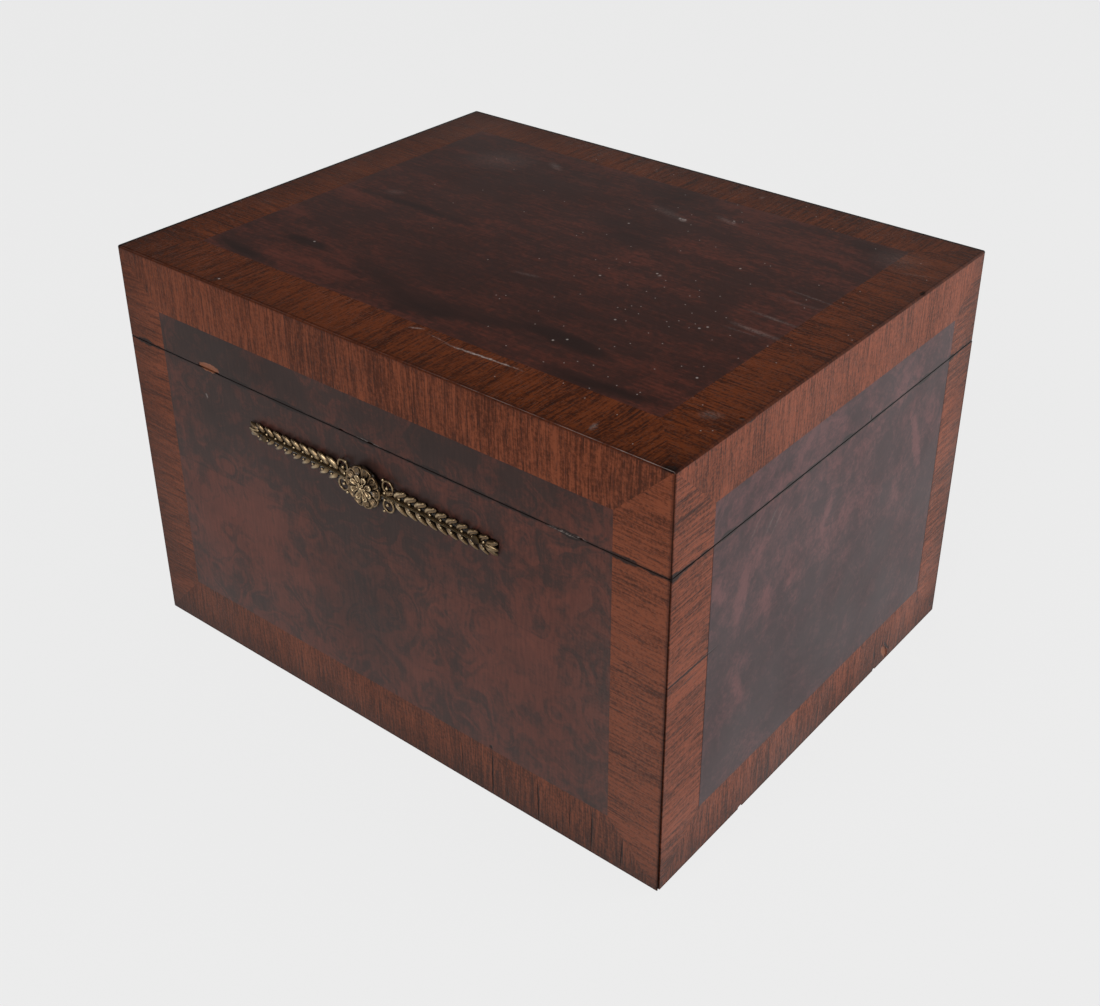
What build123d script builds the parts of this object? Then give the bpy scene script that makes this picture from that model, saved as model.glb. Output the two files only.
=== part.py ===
from build123d import *
import math
import os

os.makedirs("parts", exist_ok=True)

# Overall sizes in millimetres; front is -Y, up is +Z, the origin is the middle of the footprint
box_width = 305.0
box_depth = 240.0
box_height = 200.0
lid_height = 45.0
seam_gap = 0.5

# Carcase boards and lining
veneer = 1.0
veneer_lift = 0.5
arris = 0.9
wall = 11.0
top_board = 11.0
floor_board = 8.0
floor_rebate = 6.0
lining = 3.5
lip_height = 4.0
lip_relief = 1.0
lip_clear = 0.6

# Widths of the crossbanded borders, left and right as seen from outside each face
band_top = 26.0
band_bottom = 26.0
side_bands = {
    "front": (24.0, 26.0),
    "right": (27.0, 23.0),
    "back": (25.0, 25.0),
    "left": (25.0, 26.0),
}
top_bands = {"left": 25.5, "right": 25.5, "front": 27.0, "back": 24.0}

# Butt hinges
hinge_length = 40.0
hinge_from_middle = 92.0
hinge_leaf = 1.6
hinge_leaf_depth = 10.0
barrel_radius = 2.2
barrel_out = 1.6
barrel_clear = 0.3
base_knuckle = 12.0
knuckle_gap = 0.2
hinge_pin_radius = 1.1
hinge_pin_fit = 0.05
hinge_screw_spacing = 13.0
hinge_screw_inset = 5.6
lid_open_angle = 100.0
stop_margin_angle = 1.5
stop_reach = 3.4
stop_thickness = 1.2

# Wood screws: head radius, shank radius, whole length, head depth
hinge_screw = (2.3, 1.1, 10.0, 1.3)
floor_screw = (2.2, 1.1, 14.0, 1.3)
plate_screw = (1.6, 0.8, 3.2, 0.9)
lock_screw = (1.9, 0.9, 8.0, 1.1)
screw_fit = 0.03
screw_slot = 0.5
floor_screw_sink = 0.3

# Sliding mount and its catch
bolt_travel = 8.0
mount_drop = 20.5
mount_gap = 0.3
mount_tilt = 1.0
stud_from_middle = 61.5
stud_radius = 1.5
stud_fit = 0.02
stud_head_radius = 1.9
stud_head = 0.7
nut_across_flats = 7.0
nut_height = 2.0
bar_length = 134.0
bar_height = 10.0
bar_thickness = 2.5
pocket_depth = 8.0
pocket_margin = 2.0
slot_clear = 0.1
wood_slot_clear = 0.6
slot_plate = 1.2
slot_plate_margin = 5.0
slot_plate_height = 11.0
spring_length = 36.0
spring_width = 7.0
spring_leaf = 0.5
spring_clear = 0.1
link_from_middle = 36.0
link_thickness = 2.2
link_width = 5.4
link_reach = 14.0
eye_drop = 8.75
eye_clear = 0.3
nose_height = 3.2
nose_length = 9.0
nose_rest_gap = 1.0
riser_width = 5.0
selvedge_length = 120.0
selvedge_width = 8.6
selvedge = 1.6
selvedge_screw_inset = 4.0
link_slot_clear = 0.7
link_plate_length = 100.0
link_plate_width = 7.0
link_plate_screw_inset = 5.0

# Leaf casting of the mount, in its own plane
mount_length = 146.0
arm_start = 8.0
casting_height = 1.8
stem_width = 2.0
web_width = 6.6
web_height = 0.9
leaf_pairs = 9
leaf_first = 17.0
leaf_pitch = 5.7
leaf_long = 9.0
leaf_short = 6.6
leaf_width = 3.6
leaf_belly = 0.45
leaf_height = 1.5
leaf_angle = 46.0
tip_leaf_angle = 24.0
tip_overlap = 1.5
scroll_along = 13.0
scroll_across = 4.6
scroll_radius = 3.3
scroll_bar = 1.3

# Rosette
rosette_disc = 7.6
hub_radius = 9.2
outer_petals = 9
outer_petal_ring = 7.6
outer_petal_radius = 3.2
outer_petal_height = 1.8
inner_petals = 8
inner_petal_ring = 4.3
inner_petal_radius = 2.1
inner_petal_height = 2.7
button_radius = 2.6
button_height = 3.4

# Heights and planes that follow from the sizes above
half_width = box_width / 2
half_depth = box_depth / 2
seam_z = box_height - lid_height
rim_z = seam_z - seam_gap / 2
lid_edge_z = seam_z + seam_gap / 2
veneer_top_z = box_height - veneer
lid_wall_top_z = veneer_top_z - top_board
core_in = veneer + wall
mount_z = seam_z - mount_drop
front_y = -half_depth
core_inner_y = front_y + core_in
pocket_y = core_inner_y - pocket_depth
bar_y = core_inner_y - pocket_depth / 2
axis_y = half_depth + barrel_out

# Each face: half its length, the middle of its foot, its direction to the right and its outward direction
faces = {
    "front": (half_width, (0, -half_depth, 0), (1, 0, 0), (0, -1, 0)),
    "right": (half_depth, (half_width, 0, 0), (0, 1, 0), (1, 0, 0)),
    "back": (half_width, (0, half_depth, 0), (-1, 0, 0), (0, 1, 0)),
    "left": (half_depth, (-half_width, 0, 0), (0, -1, 0), (-1, 0, 0)),
}


def save(name, *solids):
    """Write one node, which may hold several separate solids."""
    export_step(Compound(children=[s for part in solids for s in part.solids()]), f"parts/{name}.step")


def box_between(low, high):
    """A block from its lowest corner to its highest corner."""
    size = [b - a for a, b in zip(low, high)]
    return Pos(*low) * Box(*size, align=(Align.MIN, Align.MIN, Align.MIN))


def outline(points):
    """A flat face through the points."""
    return make_face(Polyline(*points, close=True))


def mitred_board(face, setback, thickness, low, high):
    """An upright board along one face, with 45 degree ends, between two heights."""
    half, origin, along, _ = faces[face]
    near = half - setback
    far = near - thickness
    points = [(-near, setback), (near, setback), (far, setback + thickness), (-far, setback + thickness)]
    foot = Plane(origin=origin, x_dir=along, z_dir=(0, 0, 1)).offset(low)
    return extrude(foot * outline(points), amount=high - low)


def face_window(face, points):
    """A prism through one face's veneer, with an outline drawn on that face."""
    _, origin, along, outward = faces[face]
    drawn = Plane(origin=origin, x_dir=along, z_dir=outward) * outline(points)
    return extrude(drawn, amount=2 * veneer, both=True)


def rectangle(left, low, right, high):
    return [(left, low), (right, low), (right, high), (left, high)]


def screw(kind, slotted=True, fit=0.0):
    """A countersunk screw whose head is level with z = 0 and which points down."""
    head_radius, shank_radius, length, head_depth = kind
    tip = 2 * shank_radius
    profile = [
        (0, 0),
        (head_radius + fit, 0),
        (shank_radius + fit, -head_depth),
        (shank_radius + fit, tip - length),
        (0, -length - fit),
    ]
    body = revolve(Plane.XZ * outline(profile), Axis.Z)
    if slotted:
        body -= Box(2 * head_radius, screw_slot, head_depth)
    return body


def screw_hole(kind):
    """The hole that a screw fills, with its head side left open."""
    return screw(kind, slotted=False, fit=screw_fit)


def pointing(position, direction):
    """A place for a screw that points along a direction."""
    back = tuple(-d for d in direction)
    return Plane(origin=position, z_dir=back).location


# Carcase walls, with the bottom board let into the base
base_walls = {face: mitred_board(face, veneer, wall, 0, rim_z) for face in faces}
lid_walls = {face: mitred_board(face, veneer, wall, lid_edge_z, lid_wall_top_z) for face in faces}
inner_x = half_width - core_in
inner_y = half_depth - core_in
floor_x = inner_x + floor_rebate
floor_y = inner_y + floor_rebate
bottom = box_between((-floor_x, -floor_y, 0), (floor_x, floor_y, floor_board))
for face in faces:
    base_walls[face] -= bottom

# Screws that hold the bottom board, in the middle of its rebate
floor_line_x = inner_x + floor_rebate / 2
floor_line_y = inner_y + floor_rebate / 2
floor_screw_places = [(x, y) for x in (-inner_x / 2, 0, inner_x / 2) for y in (-floor_line_y, floor_line_y)]
floor_screw_places += [(x, y) for x in (-floor_line_x, floor_line_x) for y in (-inner_y / 2, inner_y / 2)]
floor_screws = []
for x, y in floor_screw_places:
    place = pointing((x, y, floor_screw_sink), (0, 0, 1))
    floor_screws.append(place * screw(floor_screw))
    mouth = Cylinder(floor_screw[0] + screw_fit, 2 * floor_screw_sink)
    hole = place * screw_hole(floor_screw) + Pos(x, y, 0) * mouth
    bottom -= hole
    for face in faces:
        base_walls[face] -= hole

# Lining boards, whose rebated lip stands above the rim
linings = {}
for face in faces:
    body = mitred_board(face, core_in, lining, floor_board, rim_z - lip_relief)
    lip = mitred_board(face, core_in + lip_clear, lining - lip_clear, rim_z - lip_relief, rim_z + lip_height)
    linings[face] = body + lip

# Veneer: one rounded envelope gives every outer edge the same eased arris
envelope = box_between((-half_width, -half_depth, -box_height), (half_width, half_depth, box_height))
upright_edges = envelope.edges().filter_by(Axis.Z)
top_edges = envelope.faces().sort_by(Axis.Z)[-1].edges()
envelope = fillet(upright_edges + top_edges, arris)


def face_bands(face):
    """Outlines of the left, right, bottom and top strips of one upright face, mitred at the corners."""
    half = faces[face][0]
    left = side_bands[face][0] - half
    right = half - side_bands[face][1]
    upper = box_height - band_top
    return {
        "left": [(-half, 0), (left, band_bottom), (left, upper), (-half, box_height)],
        "right": [(half, 0), (half, box_height), (right, upper), (right, band_bottom)],
        "bottom": [(-half, 0), (half, 0), (right, band_bottom), (left, band_bottom)],
        "top": [(-half, box_height), (left, upper), (right, upper), (half, box_height)],
    }


def face_leaves(face):
    """Outlines of the four matched burl leaves of one upright face."""
    half = faces[face][0]
    left = side_bands[face][0] - half
    right = half - side_bands[face][1]
    upper = box_height - band_top
    middle = (left + right) / 2
    halfway = (band_bottom + upper) / 2
    spans = ((left, middle), (middle, right))
    lower_leaves = [rectangle(start, band_bottom, end, halfway) for start, end in spans]
    upper_leaves = [rectangle(start, halfway, end, upper) for start, end in spans]
    return lower_leaves, upper_leaves


base_bands = {}
base_burl = {}
lid_bands = {}
lid_burl = {}
for face in faces:
    base_skin = mitred_board(face, 0, veneer, veneer_lift, rim_z) & envelope
    lid_skin = mitred_board(face, 0, veneer, lid_edge_z, veneer_top_z) & envelope
    strips = face_bands(face)
    lower, upper = face_leaves(face)
    base_bands[face] = [base_skin & face_window(face, strips[s]) for s in ("left", "right", "bottom")]
    lid_bands[face] = [lid_skin & face_window(face, strips[s]) for s in ("left", "right", "top")]
    base_burl[face] = [base_skin & face_window(face, leaf) for leaf in lower + upper]
    lid_burl[face] = [lid_skin & face_window(face, leaf) for leaf in upper]

# Veneer of the top, laid over the edges of the side veneers
top_left = top_bands["left"] - half_width
top_right = half_width - top_bands["right"]
top_front = top_bands["front"] - half_depth
top_back = half_depth - top_bands["back"]
top_middle_x = (top_left + top_right) / 2
top_middle_y = (top_front + top_back) / 2
top_skin = envelope & box_between(
    (-half_width, -half_depth, veneer_top_z), (half_width, half_depth, box_height)
)


def top_piece(points):
    """One piece of the top veneer, from its outline."""
    return top_skin & extrude(Plane.XY.offset(veneer_top_z - veneer) * outline(points), amount=3 * veneer)


top_strips = [
    [(-half_width, -half_depth), (half_width, -half_depth), (top_right, top_front), (top_left, top_front)],
    [(half_width, half_depth), (-half_width, half_depth), (top_left, top_back), (top_right, top_back)],
    [(-half_width, half_depth), (-half_width, -half_depth), (top_left, top_front), (top_left, top_back)],
    [(half_width, -half_depth), (half_width, half_depth), (top_right, top_back), (top_right, top_front)],
]
top_leaves = [
    rectangle(top_left, top_front, top_middle_x, top_middle_y),
    rectangle(top_middle_x, top_front, top_right, top_middle_y),
    rectangle(top_left, top_middle_y, top_middle_x, top_back),
    rectangle(top_middle_x, top_middle_y, top_right, top_back),
]
lid_top_bands = [top_piece(points) for points in top_strips]
lid_top_burl = [top_piece(points) for points in top_leaves]

# Hinges: the pin's axis lies behind the back face, at the height of the saw cut
barrel_line = Plane(origin=(0, axis_y, seam_z), x_dir=(0, 1, 0), z_dir=(1, 0, 0))
lid_knuckle = hinge_length - 2 * base_knuckle - 2 * knuckle_gap


def along_barrel(start, length, radius):
    """A rod on the hinge axis, measured from the hinge's left end."""
    return extrude(barrel_line.offset(start - hinge_length / 2) * Circle(radius), amount=length)


knuckle_spans = {
    "base": [(0, base_knuckle), (hinge_length - base_knuckle, base_knuckle)],
    "lid": [(base_knuckle + knuckle_gap, lid_knuckle)],
}
room_radius = barrel_radius + barrel_clear
pin_bore = along_barrel(0, hinge_length, hinge_pin_radius + hinge_pin_fit)
leaf_front_y = half_depth - hinge_leaf_depth

# The stop nib on a base knuckle meets the lid's back face just past the open angle
nib_corner = math.hypot(stop_reach, stop_thickness / 2)
nib_corner_angle = math.degrees(math.atan2(stop_thickness / 2, stop_reach))
meet_angle = math.degrees(math.acos(barrel_out / nib_corner))
nib_rise = 180 - (lid_open_angle + stop_margin_angle + meet_angle + nib_corner_angle)


def stop_nib(start, length):
    """The flat nib along one base knuckle, leaning up from straight back."""
    low = (start - hinge_length / 2, hinge_pin_radius + hinge_pin_fit, -stop_thickness / 2)
    high = (start - hinge_length / 2 + length, stop_reach, stop_thickness / 2)
    return Pos(0, axis_y, seam_z) * Rot(nib_rise, 0, 0) * box_between(low, high)


def hinge_plate(side):
    """One leaf without its screw holes, at the middle of the back."""
    plate_z = (rim_z - hinge_leaf, rim_z) if side == "base" else (lid_edge_z, lid_edge_z + hinge_leaf)
    plate = box_between(
        (-hinge_length / 2, leaf_front_y, plate_z[0]), (hinge_length / 2, axis_y, plate_z[1])
    )
    other = "lid" if side == "base" else "base"
    for start, length in knuckle_spans[other]:
        plate -= along_barrel(start - knuckle_gap, length + 2 * knuckle_gap, room_radius)
    for start, length in knuckle_spans[side]:
        plate += along_barrel(start, length, barrel_radius)
        if side == "base":
            plate += stop_nib(start, length)
    return plate - pin_bore


def hinge_screw_places(side):
    """Where one leaf's screws go, and the way that they point."""
    height, way = (rim_z, -1) if side == "base" else (lid_edge_z, 1)
    return [
        pointing((step * hinge_screw_spacing, half_depth - hinge_screw_inset, height), (0, 0, way))
        for step in (-1, 0, 1)
    ]


base_leaf = hinge_plate("base")
lid_leaf = hinge_plate("lid")
barrel_room = along_barrel(-knuckle_gap, hinge_length + 2 * knuckle_gap, room_radius)
leaf_room = box_between(
    (-hinge_length / 2, leaf_front_y, rim_z - hinge_leaf), (hinge_length / 2, axis_y, lid_edge_z + hinge_leaf)
)
hinge_room = barrel_room + leaf_room
screw_rooms = []
hinge_screws = {"base": [], "lid": []}
for place in hinge_screw_places("base"):
    base_leaf -= place * screw_hole(hinge_screw)
    screw_rooms.append(place * screw_hole(hinge_screw))
for place in hinge_screw_places("lid"):
    lid_leaf -= place * screw_hole(hinge_screw)
    screw_rooms.append(place * screw_hole(hinge_screw))

hinge_pin = along_barrel(0, hinge_length, hinge_pin_radius)
hinge_pin = chamfer(hinge_pin.edges().filter_by(GeomType.CIRCLE), hinge_pin_radius / 3)
hinge_sides = {"left": -hinge_from_middle, "right": hinge_from_middle}
for middle in hinge_sides.values():
    cut = Pos(middle, 0, 0) * hinge_room
    for room in screw_rooms:
        cut += Pos(middle, 0, 0) * room
    base_walls["back"] -= cut
    lid_walls["back"] -= cut
    base_burl["back"] = [leaf - Pos(middle, 0, 0) * hinge_room for leaf in base_burl["back"]]
    lid_burl["back"] = [leaf - Pos(middle, 0, 0) * hinge_room for leaf in lid_burl["back"]]
    for side in hinge_screws:
        for place in hinge_screw_places(side):
            hinge_screws[side].append(Pos(middle, 0, 0) * place * screw(hinge_screw))

# Pocket for the bolt in the inner side of the front wall
bar_half = bar_length / 2
bar_low = mount_z - bar_height / 2
bar_high = mount_z + bar_height / 2
eye_z = rim_z - eye_drop
nose_low = eye_z - nose_height / 2
nose_high = eye_z + nose_height / 2
nose_tips = [x - link_thickness / 2 - nose_rest_gap for x in (-link_from_middle, link_from_middle)]
upper_left = nose_tips[0] - nose_length - riser_width - pocket_margin
upper_right = nose_tips[1] + bolt_travel + pocket_margin
pocket = box_between(
    (-bar_half - pocket_margin, pocket_y, bar_low - pocket_margin),
    (bar_half + bolt_travel + pocket_margin, core_inner_y, bar_high + pocket_margin),
)
pocket += box_between((upper_left, pocket_y, bar_high), (upper_right, core_inner_y, rim_z))
selvedge_low = (-selvedge_length / 2, core_inner_y - selvedge_width, rim_z - selvedge)
selvedge_high = (selvedge_length / 2, core_inner_y, rim_z)
selvedge_plate = box_between(selvedge_low, selvedge_high)


def front_slot(x, clearance, depth, start_y):
    """A slot along X through part of the front, as long as a stud's travel."""
    height = 2 * (stud_radius + clearance)
    face = SlotOverall(bolt_travel + height, height)
    plane = Plane(origin=(x + bolt_travel / 2, start_y, mount_z), x_dir=(1, 0, 0), z_dir=(0, 1, 0))
    return extrude(plane * face, amount=depth)


stud_places = (-stud_from_middle, stud_from_middle)
stud_slots = [front_slot(x, wood_slot_clear, pocket_depth + core_in, front_y) for x in stud_places]
base_walls["front"] -= [pocket, selvedge_plate] + stud_slots
for slot in stud_slots:
    base_burl["front"] = [leaf - slot for leaf in base_burl["front"]]

# Slot plates that the studs slide in, and their screws
plate_half = bolt_travel / 2 + stud_radius + slot_clear + slot_plate_margin
slot_plates = []
plate_screws = []
for x in stud_places:
    middle = x + bolt_travel / 2
    plate = box_between(
        (middle - plate_half, pocket_y, mount_z - slot_plate_height / 2),
        (middle + plate_half, pocket_y + slot_plate, mount_z + slot_plate_height / 2),
    )
    plate -= front_slot(x, slot_clear, slot_plate, pocket_y)
    for side in (-1, 1):
        screw_x = middle + side * (plate_half - slot_plate_margin / 2)
        place = pointing((screw_x, pocket_y + slot_plate, mount_z), (0, -1, 0))
        plate_screws.append(place * screw(plate_screw))
        plate -= place * screw_hole(plate_screw)
        base_walls["front"] -= place * screw_hole(plate_screw)
    slot_plates.append(plate)

# Selvedge plate in the rim, with a slot for each link
link_places = (-link_from_middle, link_from_middle)
for x in link_places:
    half_slot_x = link_thickness / 2 + link_slot_clear
    half_slot_y = link_width / 2 + link_slot_clear
    selvedge_plate -= box_between(
        (x - half_slot_x, bar_y - half_slot_y, rim_z - 2 * selvedge),
        (x + half_slot_x, bar_y + half_slot_y, rim_z),
    )
selvedge_screws = []
for side in (-1, 1):
    place = pointing((side * (selvedge_length / 2 - selvedge_screw_inset), bar_y, rim_z), (0, 0, -1))
    selvedge_screws.append(place * screw(lock_screw))
    selvedge_plate -= place * screw_hole(lock_screw)
    base_walls["front"] -= place * screw_hole(lock_screw)

# Link plate under the lid's front wall, with two eyes that drop into the pocket
link_plate = box_between(
    (-link_plate_length / 2, bar_y - link_plate_width / 2, lid_edge_z),
    (link_plate_length / 2, bar_y + link_plate_width / 2, lid_edge_z + selvedge),
)
lid_walls["front"] -= link_plate
eye_y = bar_thickness / 2 + eye_clear
eye_rise = nose_height / 2 + eye_clear
for x in link_places:
    link_plate += box_between(
        (x - link_thickness / 2, bar_y - link_width / 2, lid_edge_z - link_reach),
        (x + link_thickness / 2, bar_y + link_width / 2, lid_edge_z),
    )
    link_plate -= box_between(
        (x - link_thickness, bar_y - eye_y, eye_z - eye_rise),
        (x + link_thickness, bar_y + eye_y, eye_z + eye_rise),
    )
link_screws = []
for side in (-1, 0, 1):
    screw_x = side * (link_plate_length / 2 - link_plate_screw_inset)
    place = pointing((screw_x, bar_y, lid_edge_z), (0, 0, 1))
    link_screws.append(place * screw(lock_screw))
    link_plate -= place * screw_hole(lock_screw)
    lid_walls["front"] -= place * screw_hole(lock_screw)

# Bolt bar: two risers carry noses that slide into the links' eyes
bolt_bar = box_between(
    (-bar_half, bar_y - bar_thickness / 2, bar_low), (bar_half, bar_y + bar_thickness / 2, bar_high)
)
for tip in nose_tips:
    root = tip - nose_length
    bolt_bar += box_between(
        (root - riser_width, bar_y - bar_thickness / 2, bar_high),
        (root, bar_y + bar_thickness / 2, nose_high),
    )
    bolt_bar += box_between(
        (root, bar_y - bar_thickness / 2, nose_low), (tip, bar_y + bar_thickness / 2, nose_high)
    )

# Studs with a domed head on the mount and a nut behind the bar
mount_back_y = front_y - mount_gap
mount_front_y = mount_back_y - casting_height
bar_inner_y = bar_y + bar_thickness / 2
studs = []
stud_nuts = []
stud_bores = []
for x in stud_places:
    inward = Plane(origin=(x, mount_front_y, mount_z), x_dir=(1, 0, 0), z_dir=(0, 1, 0))
    shank_length = bar_inner_y + nut_height - mount_front_y
    head = extrude(inward * Circle(stud_head_radius), amount=-stud_head)
    head = fillet(head.faces().sort_by(Axis.Y)[0].edges(), stud_head / 2)
    studs.append(head + extrude(inward * Circle(stud_radius), amount=shank_length))
    bore = extrude(inward * Circle(stud_radius + stud_fit), amount=shank_length)
    stud_bores.append(bore)
    bolt_bar -= bore
    behind = Plane(origin=(x, bar_inner_y, mount_z), x_dir=(1, 0, 0), z_dir=(0, 1, 0))
    hexagon = RegularPolygon(nut_across_flats / 2, 6, major_radius=False)
    stud_nuts.append(extrude(behind * hexagon, amount=nut_height) - bore)

# Bow spring between the pocket's outer wall and the bar
bow_rise = bar_y - bar_thickness / 2 - pocket_y - spring_leaf - spring_clear
bow_half = spring_length / 2
bow_inner = ThreePointArc((-bow_half, 0), (0, bow_rise), (bow_half, 0))
bow_outer = ThreePointArc((bow_half, spring_leaf), (0, bow_rise + spring_leaf), (-bow_half, spring_leaf))
bow_ends = [Line(bow_inner @ 1, bow_outer @ 0), Line(bow_outer @ 1, bow_inner @ 0)]
bow_face = make_face([bow_inner, bow_ends[0], bow_outer, bow_ends[1]])
bow_plane = Plane(origin=(0, pocket_y, mount_z - spring_width / 2), x_dir=(1, 0, 0), z_dir=(0, 0, 1))
bow_spring = extrude(bow_plane * bow_face, amount=spring_width)


def upright(radius, height):
    """A round block that stands on local z = 0."""
    return Cylinder(radius, height, align=(Align.CENTER, Align.CENTER, Align.MIN))


def leaf(length):
    """One flat leaf along local X, pointed at both ends."""
    belly = leaf_belly * length
    upper_edge = ThreePointArc((0, 0), (belly, leaf_width / 2), (length, 0))
    lower_edge = ThreePointArc((length, 0), (belly, -leaf_width / 2), (0, 0))
    return extrude(make_face([upper_edge, lower_edge]), amount=leaf_height)


# Leaf casting: two arms of paired leaves with a scroll pair beside the rosette
tip_x = mount_length / 2 - leaf_short
arm_end = tip_x + tip_overlap
arm_pieces = [
    box_between((arm_start, -stem_width / 2, 0), (arm_end, stem_width / 2, casting_height)),
    box_between((arm_start, -web_width / 2, 0), (arm_end, web_width / 2, web_height)),
    Pos(tip_x, 0, 0) * leaf(leaf_short),
]
for count in range(leaf_pairs):
    length = leaf_long + (leaf_short - leaf_long) * count / (leaf_pairs - 1)
    axil = Pos(leaf_first + count * leaf_pitch, 0, 0)
    for side in (-1, 1):
        arm_pieces.append(axil * Rot(0, 0, side * leaf_angle) * leaf(length))
for side in (-1, 1):
    arm_pieces.append(Pos(tip_x, 0, 0) * Rot(0, 0, side * tip_leaf_angle) * leaf(leaf_short))
    ring = upright(scroll_radius, casting_height) - upright(scroll_radius - scroll_bar, casting_height)
    arm_pieces.append(Pos(scroll_along, side * scroll_across, 0) * ring)
arm = arm_pieces[0] + arm_pieces[1:]
casting = upright(hub_radius, casting_height) + [arm, Rot(0, 0, 180) * arm]
mount_plane = Plane(origin=(0, mount_back_y, mount_z), x_dir=(1, 0, 0), z_dir=(0, -1, 0))
front_mount = mount_plane.location * Rot(0, 0, -mount_tilt) * casting
front_mount -= stud_bores

# Rosette: two rings of petals and a domed button, standing on the casting's hub
petals = []
for count in range(outer_petals):
    turn = Rot(0, 0, 360 * count / outer_petals)
    petals.append(turn * Pos(outer_petal_ring, 0, 0) * upright(outer_petal_radius, outer_petal_height))
for count in range(inner_petals):
    turn = Rot(0, 0, 180 * (2 * count + 1) / inner_petals)
    petals.append(turn * Pos(inner_petal_ring, 0, 0) * upright(inner_petal_radius, inner_petal_height))
button = upright(button_radius, button_height)
button = fillet(button.faces().sort_by(Axis.Z)[-1].edges(), button_radius / 2)
disc = upright(rosette_disc, outer_petal_height)
rosette = mount_plane.offset(casting_height).location * (disc + petals + [button])

# Lid's top board
lid_board = box_between(
    (veneer - half_width, veneer - half_depth, lid_wall_top_z),
    (half_width - veneer, half_depth - veneer, veneer_top_z),
)

# One file for each named piece
for face in faces:
    save(f"base_{face}_wall", base_walls[face])
    save(f"lid_{face}_wall", lid_walls[face])
    save(f"base_{face}_burl", *base_burl[face])
    save(f"base_{face}_crossband", *base_bands[face])
    save(f"lid_{face}_burl", *lid_burl[face])
    save(f"lid_{face}_crossband", *lid_bands[face])
    save(f"{face}_lining", linings[face])
save("bottom_board", bottom)
save("bottom_screws", *floor_screws)
save("lid_top_board", lid_board)
save("lid_top_burl", *lid_top_burl)
save("lid_top_crossband", *lid_top_bands)
for name, middle in hinge_sides.items():
    save(f"{name}_hinge_base_leaf", Pos(middle, 0, 0) * base_leaf)
    save(f"{name}_hinge_lid_leaf", Pos(middle, 0, 0) * lid_leaf)
    save(f"{name}_hinge_pin", Pos(middle, 0, 0) * hinge_pin)
save("hinge_screws_base", *hinge_screws["base"])
save("hinge_screws_lid", *hinge_screws["lid"])
save("front_mount", front_mount)
save("rosette", rosette)
save("mount_studs", *studs)
save("stud_nuts", *stud_nuts)
save("bolt_bar", bolt_bar)
save("slot_plates", *slot_plates)
save("slot_plate_screws", *plate_screws)
save("bow_spring", bow_spring)
save("selvedge_plate", selvedge_plate)
save("selvedge_screws", *selvedge_screws)
save("link_plate", link_plate)
save("link_plate_screws", *link_screws)
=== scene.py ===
"""Looks of a veneered wooden puzzle box: polish, wear, cast brass mount and studio."""

import functools
import math

import bmesh
import bpy
from bpy.props import FloatProperty, FloatVectorProperty, IntProperty, PointerProperty
from mathutils import Matrix, Vector


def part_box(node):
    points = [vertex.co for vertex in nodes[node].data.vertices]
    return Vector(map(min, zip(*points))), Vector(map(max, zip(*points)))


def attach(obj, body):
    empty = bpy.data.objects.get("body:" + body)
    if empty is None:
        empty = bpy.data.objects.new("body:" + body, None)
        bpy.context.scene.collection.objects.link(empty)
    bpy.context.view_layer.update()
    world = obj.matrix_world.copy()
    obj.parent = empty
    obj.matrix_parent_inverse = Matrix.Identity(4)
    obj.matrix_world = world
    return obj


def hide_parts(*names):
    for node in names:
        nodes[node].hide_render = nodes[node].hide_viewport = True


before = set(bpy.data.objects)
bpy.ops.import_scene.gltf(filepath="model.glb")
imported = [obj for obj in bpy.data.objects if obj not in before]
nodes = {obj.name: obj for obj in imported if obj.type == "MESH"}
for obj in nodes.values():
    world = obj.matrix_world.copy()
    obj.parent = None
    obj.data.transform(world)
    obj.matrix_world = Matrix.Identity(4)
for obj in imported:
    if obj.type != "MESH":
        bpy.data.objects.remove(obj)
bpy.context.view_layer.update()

bl_info = {
    "name": "Veneered Puzzle Box",
    "version": (1, 0, 0),
    "blender": (4, 5, 0),
    "location": "View3D > Sidebar > Puzzle Box",
    "description": "Finishes a veneered puzzle box and its brass mount around a packed frame",
    "category": "Object",
}

MM = 0.001


def linear(code):
    """The linear colour of an sRGB hex code."""
    parts = [int(code[i : i + 2], 16) / 255 for i in (0, 2, 4)]
    return tuple(c / 12.92 if c <= 0.04045 else ((c + 0.055) / 1.055) ** 2.4 for c in parts)


def opaque(colour):
    return (*colour, 1.0)


def tinted(colour, tint):
    """A colour with each of its channels multiplied."""
    return opaque(c * t for c, t in zip(colour, tint))


# Ends of the box along each axis and the height of its seam, in millimetres
top_low, top_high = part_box("lid_top_crossband")
ENDS = {
    axis: (round(low / MM, 2), round(high / MM, 2))
    for axis, low, high in zip("XYZ", (top_low[0], top_low[1], 0.0), top_high)
}
SEAM = round((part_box("base_front_burl")[1][2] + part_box("lid_front_burl")[0][2]) / 2 / MM, 2)

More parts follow.
